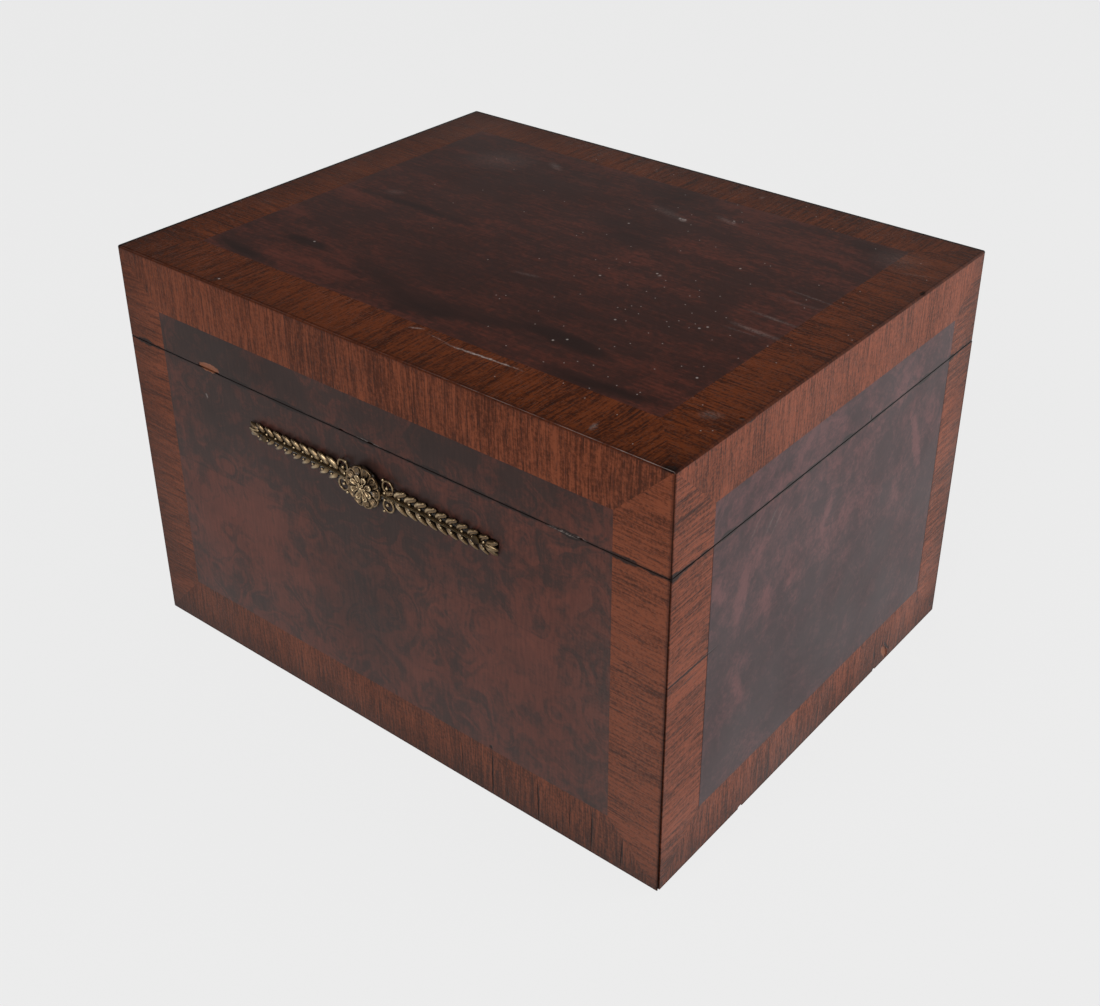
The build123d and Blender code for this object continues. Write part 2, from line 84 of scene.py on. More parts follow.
# The veneered faces. axes: a face's own two directions, u and v. In millimetres, band: widths of the border
# at the low and high ends of both, and joint: the lines where the four burl leaves meet.
# Border: darker, how much it darkens and how far in from each end, a painted shade with some dirt;
# tone, lightness of its four strips; band_tint, its colour; figure, strength of its grain; sharp, how clear
# that is from one end to the other, a fade that paints the veil of reflected sheen.
# Burl: tint and cloud_tint, its colours; leaves, lightness of its four leaves; cloud, curls and islands,
# strength of its patterns; evenly, red and dark everywhere; draw and swirl, stretch and bend of its clouds;
# fibre, fibres per millimetre; rings, whether they run round the joint.
# Polish: gloss and band_gloss, its index over burl and border; bloom, grey haze from low to high v.
PLAIN_FACE = dict(
    gloss=1.28, band_gloss=1.18, bloom=(0.03, 0.0), sharp=(1.0, 1.0), band_tint=(1.0, 1.0, 1.0),
    tint=(1.0, 1.0, 1.0), cloud_tint=(1.0, 1.1, 1.2), curls=1.0, islands=0.6, evenly=0.5,
    draw=(1.0, 1.0, 1.0), swirl=40, fibre=(1 / 1.4, 1 / 10, 0), rings=False,
)
OWN_LOOKS = {
    "front": dict(
        axes="XZ", seed=3.1, band=((24, 26), (26, 26)), joint=(-1, 100),
        darker=(((0.38, 22), (-0.04, 8)), ((0.5, 16), (0.3, 2.5))), tone=((0.06, 0.22), (-0.08, 0.0)),
        figure=1.3, sharp=(0.75, 1.35), tint=(1.08, 1.0, 1.0), cloud_tint=(1.1, 1.0, 1.0),
        leaves=((0.12, 0.13), (-0.06, 0.05)), cloud=1.2, islands=0.5,
        gloss=1.23, band_gloss=1.17, bloom=(0.035, 0.0),
    ),
    "right": dict(
        axes="YZ", seed=11.7, band=((27, 23), (26, 26)), joint=(2, 100),
        darker=(((0.0, 8), (0.38, 17)), ((0.5, 22), (-0.14, 18))), tone=((0.1, 0.1), (0.04, 0.1)),
        figure=1.6, sharp=(1.15, 1.0), band_tint=(1.2, 1.2, 1.32), tint=(0.98, 0.94, 1.3),
        cloud_tint=(1.0, 1.22, 1.4), leaves=((-0.02, 0.0), (0.05, 0.0)), cloud=1.1, curls=0.5,
        islands=0.3, evenly=0.0, rings=True, gloss=1.31, band_gloss=1.21, bloom=(0.004, 0.004),
    ),
    "back": dict(
        axes="XZ", seed=23.9, band=((25, 25), (26, 26)), joint=(0, 100),
        darker=(((0.3, 16), (0.3, 16)), ((0.45, 14), (0.1, 8))), tone=((0.0, 0.05), (0.0, 0.1)),
        figure=1.1, leaves=((0.05, 0.0), (-0.03, 0.02)), cloud=1.0,
    ),
    "left": dict(
        axes="YZ", seed=37.3, band=((26, 25), (26, 26)), joint=(0.5, 100),
        darker=(((0.3, 16), (0.3, 16)), ((0.4, 16), (0.0, 8))), tone=((0.05, 0.0), (0.0, 0.1)),
        figure=1.2, leaves=((0.0, 0.04), (0.02, -0.03)), cloud=1.1, curls=0.8, rings=True,
    ),
    "top": dict(
        axes="XY", seed=51.2, band=((25.5, 25.5), (27, 24)), joint=(0, 1.5),
        darker=(((0.38, 22), (0.2, 13)), ((0.2, 20), (0.32, 20))), tone=((0.0, 0.08), (0.04, 0.1)),
        figure=1.7, sharp=(0.4, 1.35), band_tint=(1.0, 0.85, 0.48), tint=(1.3, 0.88, 0.78),
        cloud_tint=(0.85, 0.95, 1.0), leaves=((0.03, 0.0), (-0.03, 0.0)), cloud=1.8, curls=0.2,
        islands=0.0, evenly=0.0, draw=(0.35, 1.0, 1.0), swirl=18, fibre=(1 / 14, 1 / 1.3, 0),
        gloss=1.26, band_gloss=1.2, bloom=(0.0, 0.05),
    ),
}
FACES = {
    face: {**PLAIN_FACE, **own, "span": [ENDS[axis] for axis in own["axes"]]}
    for face, own in OWN_LOOKS.items()
}

# How much each pattern of the veneers counts
BURL_WEIGHTS = {
    "clouds": 0.5, "drift": 0.6, "curl": 0.3, "flecks": 0.6, "specks": 0.5, "grit": 0.5, "islands": 0.2,
    "fibre": 0.22,
}
BAND_WEIGHTS = {"shading": 0.6, "ribbon": 0.5, "streak": 1.5, "roe": 0.7, "specks": 1.1, "length": 0.12}
# Patterns of the border: width and length in millimetres, detail. Pores are drawn wider than real ones
BAND_PATTERNS = {
    "shading": (14, 120, 1.0), "ribbon": (4, 60, 2.0), "streak": (1.0, 20, 2.0), "roe": (1.8, 6, 2.0),
    "specks": (1.3, 1.3, 2.0), "line": (0.8, 30, 1.0), "pore": (0.6, 4.0, 1.0),
}
# Patterns of the burl: the place they are read at, size in millimetres, detail. At leaf and drawn they mirror
# across the joints, at drawn they are also swirled and drawn out, and at own they differ from leaf to leaf
BURL_PATTERNS = {
    "clouds": ("drawn", 24, 2.0), "drift": ("own", 17, 3.0), "flecks": ("own", 7.5, 4.0),
    "specks": ("leaf", 2.4, 2.0), "grit": ("own", 1.1, 2.0),
}
# Sizes in millimetres: bends of the burl's clouds, its knots and curls, soft edges of its patches
SWIRL, KNOT, CURL, PATCH_EDGE = 34, 26, 30, 15
# How many fibres the burl's figure shows from the middle of a knot to its rim
CURL_LINES = 16.0
# Fibre that runs round the joint: millimetres between rings, how far they wander, and breaks per radian
RING, RING_WANDER, RING_BREAKS = 2.2, 30.0, 7.0
# Patches with a half size under this keep sharper outlines; how far outlines are shaken, in millimetres
SMALL_PATCH = 7.0
SHAKE_SMALL, SHAKE_LARGE = 3, 13
# How red the burl is without patches, and how much red and dark patches change that
PLAIN_RED, RED_PATCH, DARK_PATCH = 0.28, 0.5, -0.32
# The border, in millimetres: lengths of veneer, and how far its grain wanders over which length
BAND_LENGTH, WANDER, WANDER_LENGTH = 62, 3.0, 40
# Steps between the four strips of a border in their pattern, so that no two have the same figure
STRIP_STEP = 17.3
# Depth of the open grain in burl and border, in millimetres
BURL_RELIEF, BAND_RELIEF = 0.03, 0.05
# Sizes of the wear's patterns and of the breaks in the painted arris highlight, in millimetres
RAGGED, NICK, FRAY, BROKEN, ARRIS_BREAKS, HAZE, DUST_CELL = 2.857, 11.11, 1.667, 1.111, 8.333, 50, 3.333
# In millimetres, how far a ragged edge reaches in, rubbed, and dark with dirt and painted shade, and how far
# marks and cracks fray
RUBBED_IN, DIRT_AND_SHADE_IN, FRAY_MARKS, FRAY_CRACKS = 3.0, 1.2, 0.8, 0.25
# Where the painted highlight runs, half way round the rounding of the lid's front arris, in millimetres from
# the front
ARRIS_HIGHLIGHT = 0.26

# Patches in the burl: middle and half sizes in millimetres, turn in degrees, strength
RED_PATCHES = {
    "front": [
        (-84, 90, 32, 26, 0, 0.55), (-69, 88, 12, 16, 0, 0.55), (-71, 66, 15, 13, -20, 0.6),
        (-104, 88, 12, 18, 0, 0.35), (-108, 62, 22, 30, 0, 0.45), (84, 74, 34, 40, 0, 0.62),
        (92, 93, 15, 14, 0, 0.5), (85, 114, 20, 14, 0, 0.5), (96, 52, 13, 8, 20, 0.6),
        (64, 68, 10, 20, -12, 0.55), (30, 74, 10, 7, 30, 0.6), (-30, 71, 8, 9, 0, 0.5),
        (-45, 67, 17, 12, 10, 0.5), (-65, 162, 17, 12, 0, 0.4), (-118, 164, 8, 12, 0, 0.4),
        (72, 143, 20, 13, 0, 0.5), (113, 162, 12, 9, 0, 0.4), (-123, 123, 8, 25, 0, 0.4),
        (104, 128, 18, 14, 0, 0.45), (-115, 36, 20, 9, 0, 0.35), (28, 52, 16, 9, 0, 0.35),
        (42, 148, 9, 7, 0, 0.45),
    ],
    "right": [
        (-70, 122, 6, 22, -18, 1.5), (-70, 75, 4.5, 15, 26, 1.4), (-87, 128, 4, 9, 35, 1.2),
        (-52, 108, 5, 10, -12, 0.9), (-33, 105, 5, 6, 0, 0.7), (72, 123, 4.5, 26, 21, 1.4),
        (-30, 167, 16, 6, 35, 0.6), (-76, 167, 16, 6, 35, 0.6), (-60, 132, 3.5, 12, -28, 1.0),
        (-8, 124, 4, 11, -24, 0.8), (56, 104, 3.5, 12, 14, 0.7), (-52, 172, 12, 4, 40, 0.5),
        (-7, 128, 5, 9, -20, 0.4), (62, 143, 12, 5, 30, 0.45), (10, 118, 22, 12, 20, 0.3),
        (50, 160, 10, 12, 25, 0.4), (-58, 40, 22, 8, -25, 0.3),
    ],
    "top": [
        (114, -76, 18, 11, 0, 0.7), (-71, -79, 32, 8, -6, 0.7), (55, -3, 50, 7, 2, 0.6),
        (10, -55, 34, 16, 20, 0.4), (-40, -52, 34, 14, -20, 0.4), (-20, 5, 60, 5, 0, 0.5),
        (85, -45, 34, 14, 12, 0.4), (-90, 25, 34, 14, 0, 0.25), (60, -84, 28, 6, 8, 0.6),
    ],
    "back": [
        (-60, 70, 30, 28, 0, 0.6), (58, 74, 28, 26, 10, 0.6), (-80, 130, 24, 16, 0, 0.5),
        (82, 128, 24, 16, 0, 0.5),
    ],
    "left": [(-52, 66, 10, 28, 15, 0.6), (52, 70, 10, 26, -15, 0.6), (0, 140, 28, 12, 0, 0.4)],
}
DARK_PATCHES = {
    "front": [
        (-10, 68, 40, 46, 0, 0.55), (0, 128, 90, 40, 0, 0.5), (-95, 135, 50, 28, 0, 0.35),
        (-85, 166, 70, 18, 0, 0.8), (40, 166, 90, 16, 0, 0.5),
    ],
    "right": [
        (-12, 166, 4, 6, 0, 0.3), (59, 46, 8, 4, 0, 0.5), (-24, 110, 10, 6, 0, 0.3),
        (0, 55, 120, 55, 0, 0.5),
    ],
    "top": [
        (-82, -3, 52, 4, 1, 1.0), (-89, -64, 18, 4.5, 0, 1.7), (64, -67, 26, 6.5, -4, 1.6),
        (-2, -82, 22, 13, 0, 0.9), (13, 82, 30, 14, 0, 0.7), (20, 35, 28, 22, 0, 0.6),
        (111, 89, 16, 6, 0, 0.7), (-106, -88, 26, 5, -6, 1.3), (97, -88, 34, 5, 5, 1.3),
        (-32, -72, 34, 6, -20, 0.45), (30, -72, 34, 6, 20, 0.45), (0, -50, 180, 60, 0, 0.45),
        (-70, 60, 100, 50, 0, 0.3),
    ],
    "back": [(0, 60, 30, 36, 0, 0.5)],
    "left": [(0, 64, 24, 36, 0, 0.5)],
}
# Pale scuffs and scratches in the polish, in the same way
SCUFFS = {
    "front": [
        (142, 70, 44, 150, 0, 0.05), (-101.5, 140.7, 0.8, 1.6, 10, 0.7), (2, 155.3, 9, 0.5, 0, 0.4),
        (103, 154.8, 8, 0.5, 0, 0.7), (112, 155.3, 4, 0.5, 0, 0.5),
    ],
    "right": [
        (-52, 145, 9, 1.1, 50, 0.14), (-47, 143, 8, 0.9, 50, 0.14), (-64, 147, 7, 0.9, 50, 0.12),
        (-20, 199.8, 110, 0.6, 0, 0.35),
    ],
    "top": [
        (-63, 80, 8, 3, -30, 0.25), (27, 63, 3, 1.8, -20, 0.9), (17, 66, 16, 4, -14, 0.14),
        (44, 75, 9, 2.5, -16, 0.22), (47.5, 75, 1.2, 1.2, 0, 0.8), (55, 6, 1.1, 1.4, 0, 0.7),
        (-101, 4, 6, 4, 20, 0.14), (118, 28, 15, 0.9, -4, 0.22), (116, 20, 16, 1.6, 0, 0.1),
        (116, 1, 17, 1.3, -3, 0.26), (116, -13, 15, 2.2, -4, 0.3), (112, -17, 12, 0.8, 0, 0.16),
        (9, -96, 4, 0.8, 20, 0.8), (46, -98, 22, 0.7, 3, 1.5), (22, -97.5, 8, 0.4, -6, 0.5),
        (112, -113, 1.6, 4, 10, 0.4), (140, -80, 6, 4, 30, 0.2), (-90, 70, 22, 18, 40, 0.1),
        (41, 110, 1.4, 1.8, 0, 0.5), (-21, 109, 3, 0.6, -50, 0.3), (10, -29, 9, 1.5, 10, 0.16),
        (141, 76, 11, 1.5, 20, 0.16), (128, 85, 16, 14, 0, 0.12),
    ],
    "back": [(-40, 199.8, 90, 0.6, 0, 0.4)],
    "left": [(10, 199.8, 80, 0.6, 0, 0.4)],
}
# Lighter lengths of the border
LIGHT_STREAKS = {
    "front": [
        (-128, 186, 60, 30, 0, 0.18), (-60, 187, 20, 40, 0, 0.15), (146, 33, 14, 10, 0, 0.25),
        (-141, 62, 16, 60, 0, 0.16), (90, 12, 70, 16, 0, 0.14),
    ],
    "right": [
        (-106, 110, 40, 4.5, 0, 0.45), (-106, 97, 40, 6, 0, 0.55), (-60, 187, 60, 24, 0, 0.14),
        (-104, 43, 30, 9, 0, 0.2),
    ],
    "top": [(0, -108, 110, 20, 0, 0.22), (140, -10, 16, 110, 0, 0.1)],
    "back": [(40, 187, 60, 30, 0, 0.15)],
    "left": [(-106, 120, 30, 12, 0, 0.25)],
}
# Shrinkage cracks and dark nicks
CRACKS = {
    "front": [
        (47, 12, 0.5, 15, 1, 0.9), (64.5, 13, 0.6, 17, 0, 1.4), (73, 6, 0.5, 8, 0, 0.7),
        (90, 12, 0.6, 16, 1, 1.2), (100, 5, 0.5, 7, 0, 0.7), (107, 14, 0.5, 14, -2, 0.9),
        (118.5, 12, 0.7, 16, -1, 1.1), (134, 10, 0.6, 13, -3, 1.0), (139, 8, 0.5, 8, 2, 0.7),
        (64, 27.5, 1.4, 1.6, 0, 1.0), (-65, 8, 0.5, 10, 2, 0.5), (-18, 7, 0.5, 9, 0, 0.5),
        (2, 155.2, 10, 0.9, 0, 0.6), (-76, 8, 0.5, 10, -2, 0.5),
    ],
    "right": [
        (-106, 104.8, 26, 0.9, 0, 1.2), (-106, 100.3, 14, 0.5, 2, 0.7), (-106, 79, 20, 0.6, -2, 0.5),
        (69.2, 8.4, 0.9, 6.5, 40, 1.3), (64.2, 11.5, 0.9, 3.0, 0, 1.0), (57, 10, 1.4, 5, 10, 0.7),
        (-72, 199.2, 4, 1.6, 0, 1.0), (24, 157, 1.2, 3, 0, 0.8), (-110, 120, 14, 0.5, 3, 0.5),
        (-104, 132, 16, 0.5, -3, 0.5),
    ],
    "top": [(150, -119, 5, 4, 30, 1.0), (151.5, 61, 1.6, 3.5, 0, 0.9), (150, -75, 2, 2, 0, 0.7)],
    "back": [(-70, 9, 0.6, 12, 1, 0.8), (34, 10, 0.5, 13, -1, 0.8)],
    "left": [(60, 9, 0.6, 11, 1, 0.8), (-30, 8, 0.5, 10, 0, 0.7)],
}
# Wood laid bare where the veneer is chipped
BARE_WOOD = {
    "front": [(-97.5, 156.3, 8.6, 2.6, 3, 1.3)],
    "right": [(67.2, 6.0, 2.6, 6.0, 34, 1.0)],
}
# Pale crumbs on the top, about 1 mm across
CRUMBS = [
    (u, v, 0.65, 0.65, 0, 2.0)
    for u, v in (
        (25, 64), (28, 64), (46.5, 77), (53, 7), (35, -10), (-89, -115), (-87, -62), (66, -40), (97, -25),
        (99, -22), (58, -70), (62, -66), (10, 44), (78, 34), (120, -60),
    )
]
# Where dust lies on the top; the strength is the share of cells that hold a grain
DUST = [(95, -50, 80, 80, 0, 0.1), (50, 20, 170, 130, 0, 0.03)]
# A mended leaf on the front: its right edge, its head, and the patch of lighter burl
MENDED_LEAF = (-59.4, 100.0, (-80, 86, 62, 46, 0, 0.34))
# The opened joint at the front right corner: end of u, and its dark width at head and foot
OPEN_CORNER = {"front": ("high", 0.2, 0.5), "right": ("low", 0.35, 1.1)}

# The stage: the floor's size in metres, the share and strength of its own light, and the heights, as sines of
# the angle up, between which the pale wall gives way to the dim room
FLOOR_SIZE = 60.0
FLOOR_SHOWN, FLOOR_LIGHT = 0.93, 1.04
WALL_FADE = (0.26, 0.12)
# Lamps: setting, place, width and height in metres; all aim at the middle of the box
LAMPS = {
    "key_lamp": ("key", (1.2, 0.85, 0.34), (1.2, 0.6)),
    "fill_lamp": ("fill", (0.15, -1.5, 1.0), (1.2, 0.9)),
    "overhead_lamp": ("over", (-0.2, 0.1, 1.7), (0.9, 0.9)),
}
BOX_MIDDLE = Vector((0, 0, 0.1))
CAMERA = {
    "sensor_width": 36.0, "lens": 49.562, "shift_x": -0.03268, "shift_y": -0.08406, "clip_start": 0.01,
    "clip_end": 100.0,
}
CAMERA_PLACE = Matrix(
    (
        (0.785496, -0.311159, 0.534954, 0.39642),
        (0.618831, 0.385653, -0.684339, -0.48144),
        (0.006632, 0.868592, 0.495484, 0.47194),
        (0, 0, 0, 1),
    )
)


# Materials

# What a second word in a node's kind sets, where that isn't its operation
MAIN_CHOICES = {
    "Mix": "data_type", "MapRange": "interpolation_type", "Mapping": "vector_type",
    "TexNoise": "noise_dimensions", "TexVoronoi": "voronoi_dimensions", "TexGradient": "gradient_type",
}


def shade(tree, kind, inputs=(), out=0, **settings):
    """Adds one node and gives one of its outputs. A second word in kind is the node's main choice;
    inputs go by place or name, linked or set."""
    kind, _, choice = kind.partition(" ")
    made = tree.nodes.new("ShaderNode" + kind)
    if choice:
        settings[MAIN_CHOICES.get(kind, "operation")] = choice
    for name, value in settings.items():
        setattr(made, name, value)
    for key, value in inputs.items() if isinstance(inputs, dict) else enumerate(inputs):
        if isinstance(value, bpy.types.NodeSocket):
            tree.links.new(value, made.inputs[key])
        else:
            made.inputs[key].default_value = value
    return made.outputs[out] if made.outputs else None


def new_material(name):
    """A new material, and the function that adds nodes to it."""
    made = bpy.data.materials.new(name)
    made.use_nodes = True
    made.node_tree.nodes.clear()
    return made, functools.partial(shade, made.node_tree)


def close_material(add, colour, roughness, height=None, depth=0.0, **sockets):
    """Ends a material in one Principled surface; height is a pattern from 0 to 1, depth its millimetres."""
    inputs = {"Base Color": colour, "Roughness": roughness, **sockets}
    if height is not None:
        inputs["Normal"] = add("Bump", {"Strength": 1.0, "Distance": depth * MM, "Height": height})
    add("OutputMaterial", {"Surface": add("BsdfPrincipled", inputs)})


def face_place(add, face):
    """The place on one face in millimetres: across, up, and both as a vector."""
    in_mm = add("VectorMath SCALE", {0: add("TexCoord", out="Object"), "Scale": 1 / MM})
    u, v = (add("SeparateXYZ", [in_mm], axis) for axis in FACES[face]["axes"])
    return u, v, add("CombineXYZ", [u, v, 0.0])


def shaken(add, place, noise, reach):
    """A place moved about by a noise, up to reach millimetres either way."""
    moved = add("VectorMath MULTIPLY_ADD", [noise, (2 * reach, 2 * reach, 0), place])
    return add("VectorMath SUBTRACT", [moved, (reach, reach, 0)])


def patches(add, place, spots, total=0.0):
    """Soft ovals added to a total, each with its middle, half sizes, turn and strength."""
    for u, v, half_u, half_v, turn, strength in spots:
        inputs = [place, (u, v, 0), (0, 0, math.radians(turn)), (half_u, half_v, 1)]
        local = add("Mapping TEXTURE", inputs)
        oval = add("TexGradient SPHERICAL", [local], 1)
        total = add("Math MULTIPLY_ADD", [oval, strength, total])
    return total


def top_marks_and_highlight(add, u, v, place, marks_and_highlight):
    """Pale marks of the top alone: a painted highlight 0.2 mm wide along its front arris, dust and crumbs."""
    # A painted highlight along the front arris, stronger toward the right corner and broken here and there
    arris_highlight = add("Math SUBTRACT", [v, ENDS["Y"][0] + ARRIS_HIGHLIGHT])
    arris_highlight = add("Math ABSOLUTE", [arris_highlight])
    arris_highlight = add("MapRange", [arris_highlight, 0.1, 0.04, 0.0, 0.5])
    toward_corner = add("MapRange", [u, 30.0, 130.0, 0.15, 1.0])
    arris_highlight = add("Math MULTIPLY", [arris_highlight, toward_corner])
    kept = add("TexNoise", {"Vector": place, "Scale": 1 / ARRIS_BREAKS, "Detail": 4.0})
    kept = add("MapRange", [kept, 0.35, 0.55, 0.1, 1.0])
    marks_and_highlight = add("Math MULTIPLY_ADD", [arris_highlight, kept, marks_and_highlight])
    # Dust grains are drawn 0.5 mm across, so that they show in the render
    cells = {"Vector": place, "Scale": 1 / DUST_CELL}
    distance, chance = (add("TexVoronoi 2D", cells, out) for out in (0, 1))
    grain = add("MapRange", [distance, 0.1, 0.06, 0.0, 1.0])
    fell = add("Math LESS_THAN", [add("SeparateColor", [chance]), patches(add, place, DUST)])
    dust = add("Math MULTIPLY", [grain, fell])
    marks_and_highlight = add("Math MULTIPLY_ADD", [dust, 0.9, marks_and_highlight])
    return patches(add, place, CRUMBS, marks_and_highlight)


def polish_and_wear(add, face, u, v, place, colour, height, depth, gloss, look):
    """Old shellac polish over a veneer: edges rubbed and dirty, seam dark, cracks, bare wood and scuffs; on
    the top, painted shade along the left and back edges and a painted highlight along the front arris.
    """
    spec = FACES[face]
    (u0, u1), (v0, v1) = spec["span"]
    from_low_u, from_high_u, from_high_v, from_low_v = (
        add("Math SUBTRACT", pair) for pair in ((u, u0), (u1, u), (v1, v), (v, v0))
    )
    # Distance from the nearest edge of the face
    near = from_low_u
    for gap in (from_high_u, from_high_v, from_low_v):
        near = add("Math MINIMUM", [near, gap])
    seeded = {"Vector": place, "W": spec["seed"]}
    ragged = add("TexNoise 4D", {**seeded, "Scale": 1 / RAGGED, "Detail": 3.0})
    worn = add("Math MULTIPLY_ADD", [ragged, -RUBBED_IN, near])
    rubbed = add("MapRange SMOOTHSTEP", [worn, 0.3, -1.0, 0.0, 0.6])
    if face == "top":
        # Black along the left and back edges: painted shade of their rounded arrises, with old polish
        # gathered there
        dirt_and_shade = add("Math MINIMUM", [from_low_u, from_high_v])
        dirt_and_shade = add("Math MULTIPLY_ADD", [ragged, -DIRT_AND_SHADE_IN, dirt_and_shade])
        dirt_and_shade = add("MapRange SMOOTHSTEP", [dirt_and_shade, 2.0, 0.9, 0.0, 0.97])
    else:
        # Dirt along the seam, broken by nicks
        dirt_and_shade = add("Math SUBTRACT", [v, SEAM])
        dirt_and_shade = add("Math ABSOLUTE", [dirt_and_shade])
        dirt_and_shade = add("Math MULTIPLY_ADD", [ragged, -DIRT_AND_SHADE_IN, dirt_and_shade])
        nicked = add("TexNoise 4D", {**seeded, "Scale": 1 / NICK, "Detail": 4.0})
        nicked = add("MapRange", [nicked, 0.45, 0.7, 0.2, -1.4])
        dirt_and_shade = add("Math ADD", [dirt_and_shade, nicked])
        dirt_and_shade = add("MapRange SMOOTHSTEP", [dirt_and_shade, 0.6, -0.3, 0.0, 0.95])
    # Bloom: a thin grey haze in the polish, uneven over the face
    bloom = add("MapRange", [v, v0, v1, *spec["bloom"]])
    coats = [(rubbed, look.rubbed_edge), (dirt_and_shade, look.grime_and_shade), (bloom, look.bloom)]
    frayed = add("TexNoise", {"Vector": place, "Scale": 1 / FRAY, "Detail": 2.0}, 1)
    bent = shaken(add, place, frayed, FRAY_MARKS)
    if face in BARE_WOOD:
        bare = patches(add, bent, BARE_WOOD[face])
        coats.append((add("MapRange", [bare, 0.2, 0.4, 0.0, 0.95]), look.bare_wood))
    split = patches(add, shaken(add, place, frayed, FRAY_CRACKS), CRACKS[face])
    split = add("MapRange", [split, 0.2, 0.6, 0.0, 0.9])
    if face in OPEN_CORNER:
        end, wide_head, wide_foot = OPEN_CORNER[face]
        wide = add("MapRange", [v, v1, v0, wide_head, wide_foot])
        gap = add("Math SUBTRACT", [from_high_u if end == "high" else from_low_u, wide])
        gap = add("MapRange", [gap, 0.2, -0.1, 0.0, 0.95])
        split = add("Math MAXIMUM", [split, gap])
    marks_and_highlight = patches(add, bent, SCUFFS[face])
    broken = add("TexNoise", {"Vector": place, "Scale": 1 / BROKEN, "Detail": 2.0})
    broken = add("MapRange", [broken, 0.35, 0.6, 0.25, 1.0])
    marks_and_highlight = add("Math MULTIPLY", [marks_and_highlight, broken])
    if face == "top":
        marks_and_highlight = top_marks_and_highlight(add, u, v, place, marks_and_highlight)
    marks_and_highlight = add("Clamp", [marks_and_highlight, 0.0, 0.9])
    for amount, over in (*coats, (split, look.grime_and_shade), (marks_and_highlight, look.scuffs_and_highlight)):
        colour = add("Mix RGBA", {0: amount, 6: colour, 7: opaque(over)}, 2)
    haze = add("TexNoise 4D", {**seeded, "Scale": 1 / HAZE, "Detail": 2.0})
    roughness = add("MapRange", [haze, 0.3, 0.7, look.polish - 0.06, look.polish + 0.08])
    roughness = add("Math MULTIPLY_ADD", [marks_and_highlight, 0.3, roughness])
    dulled = add("MapRange", [near, 1.3, 0.6, 0.0, 0.6])
    roughness = add("Math ADD", [roughness, dulled])
    height = add("Math MULTIPLY_ADD", [split, -4.0, height])
    close_material(add, colour, roughness, height, depth, IOR=gloss)


